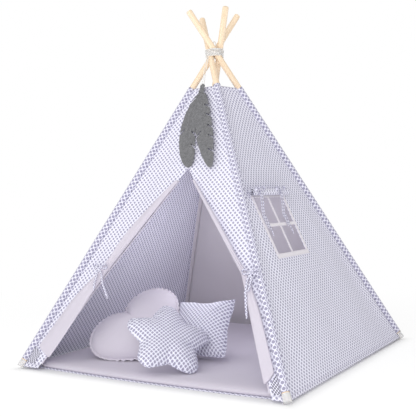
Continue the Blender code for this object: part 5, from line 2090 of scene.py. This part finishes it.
class AddWalls(bpy.types.Operator):
    """Stretches the four walls between the sleeves, with their hems and seams"""

    bl_idname = "teepee.add_walls"
    bl_label = "Walls"
    bl_options = UNDOABLE

    def execute(self, context):
        make_walls()
        return {"FINISHED"}


class AddDoorway(bpy.types.Operator):
    """Binds the doorway's edges and hangs its rolled flaps, their bows and the tucks at their feet"""

    bl_idname = "teepee.add_doorway"
    bl_label = "Doorway"
    bl_options = UNDOABLE

    def execute(self, context):
        for side in ("left", "right"):
            make_door_edge(side)
            make_door_flap(side)
            make_door_tie(side)
            make_tuck(side)
        return {"FINISHED"}


class AddWindow(bpy.types.Operator):
    """Tapes the window, crosses its bars and rolls its blind up between two bows"""

    bl_idname = "teepee.add_window"
    bl_label = "Window"
    bl_options = UNDOABLE

    def execute(self, context):
        make_window_tape()
        make_window_bars()
        make_blind()
        make_window_tie("front")
        make_window_tie("back")
        return {"FINISHED"}


class AddLashing(bpy.types.Operator):
    """Lashes the poles where they cross and adds the loop that the tent hangs by"""

    bl_idname = "teepee.add_lashing"
    bl_label = "Lashing and loop"
    bl_options = UNDOABLE

    def execute(self, context):
        make_lashing()
        make_hanging_loop()
        return {"FINISHED"}


class AddFeathers(bpy.types.Operator):
    """Hangs two felt feathers on one cord"""

    bl_idname = "teepee.add_feathers"
    bl_label = "Feathers"
    bl_options = UNDOABLE

    def execute(self, context):
        make_feather_cord()
        make_feather("left")
        make_feather("right")
        return {"FINISHED"}


class AddMat(bpy.types.Operator):
    """Lays the padded mat with its printed underside"""

    bl_idname = "teepee.add_mat"
    bl_label = "Mat"
    bl_options = UNDOABLE

    def execute(self, context):
        make_mat()
        return {"FINISHED"}


class AddCushions(bpy.types.Operator):
    """Sets the star, the heart and the square on the mat"""

    bl_idname = "teepee.add_cushions"
    bl_label = "Cushions"
    bl_options = UNDOABLE

    def execute(self, context):
        soft = context.scene.teepee_soft
        seam = (soft.cushion_seam, STAR_SEAM_PITCH, STAR_SEAM_LEAN)
        frill = (soft.heart_frill, FRILL_PITCH, FRILL_LEAN)
        make_cushion("star", printed_cotton("cushion"), "lattice_print_bold", *seam)
        make_cushion("heart", unprinted_cotton("plain"), "plain_cotton", *frill)
        make_cushion("square", printed_cotton("cushion"), "lattice_print_bold", *seam)
        return {"FINISHED"}


FLOOR_REACH = 14
FLOOR_DROP = 0.0005
FLOOR_GLOW_STRENGTH = 0.3
# From the tent's middle: where the floor turns white, where it glows and where its shadow fades
FLOOR_WHITE = (0.57, 0.67)
FLOOR_GLOW = (0.59, 0.66)
SHADOW_FADE = (0.85, 2.4)
TENT_MIDDLE = (0, 0, 0.5)
# Where the lamps stand and how large they are
KEY_LAMP = (-2.3, -3.0, 2.9), 2.6
FILL_LAMP = (1.5, -3.6, 1.7), 2.2
INSIDE_LAMP = (0.0, -0.05, 0.42), 0.2


def white_where_seen(wiring, surface, share):
    """Mixes white light into a surface for the camera, for mirrors and for glass."""
    path = wiring.node("ShaderNodeLightPath")
    seen = wiring.math("MAXIMUM", path.outputs["Is Camera Ray"], path.outputs["Is Glossy Ray"])
    seen = wiring.math("MAXIMUM", seen, path.outputs["Is Transmission Ray"])
    white = wiring.node("ShaderNodeEmission", {"Color": (1, 1, 1, 1), "Strength": 1.0})
    mixed = {0: wiring.times(seen, share), 1: surface, 2: white.outputs[0]}
    return wiring.node("ShaderNodeMixShader", mixed).outputs[0]


def add_lamp(name, place, size, power):
    """A soft square lamp that is turned to the tent."""
    lamp = bpy.data.lights.new(name, "AREA")
    lamp.energy = power
    lamp.size = size
    obj = new_object(name, lamp)
    obj.location = place
    obj.rotation_euler = (Vector(TENT_MIDDLE) - Vector(place)).to_track_quat("-Z", "Y").to_euler()


def add_inside_light(power):
    place, size = INSIDE_LAMP
    lamp = bpy.data.lights.new("light through the cloth", "POINT")
    lamp.energy = power
    lamp.shadow_soft_size = size
    obj = new_object("light through the cloth", lamp)
    obj.location = place
    obj.visible_camera = False


def output_of(tree, kind):
    return next(node for node in tree.nodes if node.type == kind).inputs["Surface"]


def add_floor(shadow_share):
    """White where the camera sees it, with a soft shadow round the tent."""
    finish = Finish("white floor")
    place = finish.coordinates.outputs["Object"]
    grain = finish.cloud(place, 30.0)
    finish.set(Base_Color=(0.92, 0.92, 0.92, 1), Roughness=finish.plus(0.8, grain, 0.1))
    finish.set(Emission_Strength=FLOOR_GLOW_STRENGTH, Specular_IOR_Level=0.1)
    split = finish.node("ShaderNodeSeparateXYZ", {0: place})
    away = finish.math("MAXIMUM", *(finish.math("ABSOLUTE", split.outputs[axis]) for axis in (0, 1)))
    finish.set(Emission_Color=finish.step(away, *FLOOR_GLOW))
    beyond = finish.minus(1.0, finish.step(away, *FLOOR_WHITE))
    fade = finish.minus(1.0, finish.step(away, *SHADOW_FADE))
    shown = finish.math("MAXIMUM", beyond, finish.times(fade, shadow_share))
    mixed = white_where_seen(finish, finish.shader.outputs[0], finish.minus(1.0, shown))
    finish.tree.links.new(mixed, output_of(finish.tree, "OUTPUT_MATERIAL"))
    corners = [Vector((FLOOR_REACH * x, FLOOR_REACH * y, -FLOOR_DROP)) for x, y in CORNERS.values()]
    add_piece("floor", corners, [(0, 1, 2, 3)], finish.material, shade=False)


def add_sky(strength):
    """Even light from all round, plain white to the camera."""
    world = bpy.data.worlds.new("studio")
    world.use_nodes = True
    bpy.context.scene.world = world
    wiring = Wiring(world.node_tree)
    sky = wiring.tree.nodes["Background"]
    wiring.feed(sky.inputs["Color"], (1, 1, 1, 1))
    wiring.feed(sky.inputs["Strength"], strength)
    seen = white_where_seen(wiring, sky.outputs[0], 1.0)
    wiring.tree.links.new(seen, output_of(wiring.tree, "OUTPUT_WORLD"))


def add_camera():
    level = Vector((math.cos(CAMERA_YAW), math.sin(CAMERA_YAW), 0))
    flat = math.cos(CAMERA_PITCH)
    forward = Vector((-math.sin(CAMERA_YAW) * flat, math.cos(CAMERA_YAW) * flat, math.sin(CAMERA_PITCH)))
    above = level.cross(forward)
    right = level * math.cos(CAMERA_ROLL) + above * math.sin(CAMERA_ROLL)
    upward = above * math.cos(CAMERA_ROLL) - level * math.sin(CAMERA_ROLL)
    lens = bpy.data.cameras.new("photograph camera")
    lens.sensor_fit = "AUTO"
    lens.sensor_width = SENSOR_MM
    lens.lens = CAMERA_LENS_MM
    camera = new_object("photograph camera", lens)
    turned = Matrix((right, upward, -forward)).transposed().to_4x4()
    camera.matrix_world = Matrix.Translation(CAMERA_PLACE) @ turned
    bpy.context.scene.camera = camera


class AddStage(bpy.types.Operator):
    """Lays a white floor, lights the tent softly and sets up the camera of the photograph"""

    bl_idname = "teepee.add_stage"
    bl_label = "Floor, light and camera"
    bl_options = UNDOABLE

    def execute(self, context):
        light = context.scene.teepee_light
        add_floor(light.shadow_share)
        add_sky(light.sky_strength)
        add_lamp("key light", *KEY_LAMP, light.key_power)
        add_lamp("fill light", *FILL_LAMP, light.fill_power)
        add_inside_light(light.inside_power)
        context.scene.view_settings.view_transform = "Standard"
        add_camera()
        return {"FINISHED"}


class TeepeePanel(bpy.types.Panel):
    """Lists the pieces and what can be changed in them"""

    bl_idname = "VIEW3D_PT_teepee"
    bl_label = "Teepee"
    bl_space_type = "VIEW_3D"
    bl_region_type = "UI"
    bl_category = "Teepee"

    def draw(self, context):
        for operator in OPERATORS:
            self.layout.operator(operator.bl_idname)
        for name in SETTINGS:
            box = self.layout.box()
            group = getattr(context.scene, name)
            for key in SETTINGS[name].__annotations__:
                box.prop(group, key)


SETTINGS = {
    "teepee_cloth": TeepeeCloth,
    "teepee_frame": TeepeeFrame,
    "teepee_soft": TeepeeSoft,
    "teepee_light": TeepeeLight,
}
OPERATORS = (
    AddPoles,
    AddSleeves,
    AddWalls,
    AddDoorway,
    AddWindow,
    AddLashing,
    AddFeathers,
    AddMat,
    AddCushions,
    AddStage,
)


def register():
    for group in (*SETTINGS.values(), *OPERATORS, TeepeePanel):
        bpy.utils.register_class(group)
    for name, group in SETTINGS.items():
        setattr(bpy.types.Scene, name, bpy.props.PointerProperty(type=group))


def unregister():
    for name in SETTINGS:
        delattr(bpy.types.Scene, name)
    for group in (TeepeePanel, *reversed(OPERATORS), *SETTINGS.values()):
        bpy.utils.unregister_class(group)


def main():
    register()
    bpy.ops.teepee.add_poles()
    bpy.ops.teepee.add_sleeves()
    bpy.ops.teepee.add_walls()
    bpy.ops.teepee.add_doorway()
    bpy.ops.teepee.add_window()
    bpy.ops.teepee.add_lashing()
    bpy.ops.teepee.add_feathers()
    bpy.ops.teepee.add_mat()
    bpy.ops.teepee.add_cushions()
    bpy.ops.teepee.add_stage()


if __name__ == "__main__":
    main()
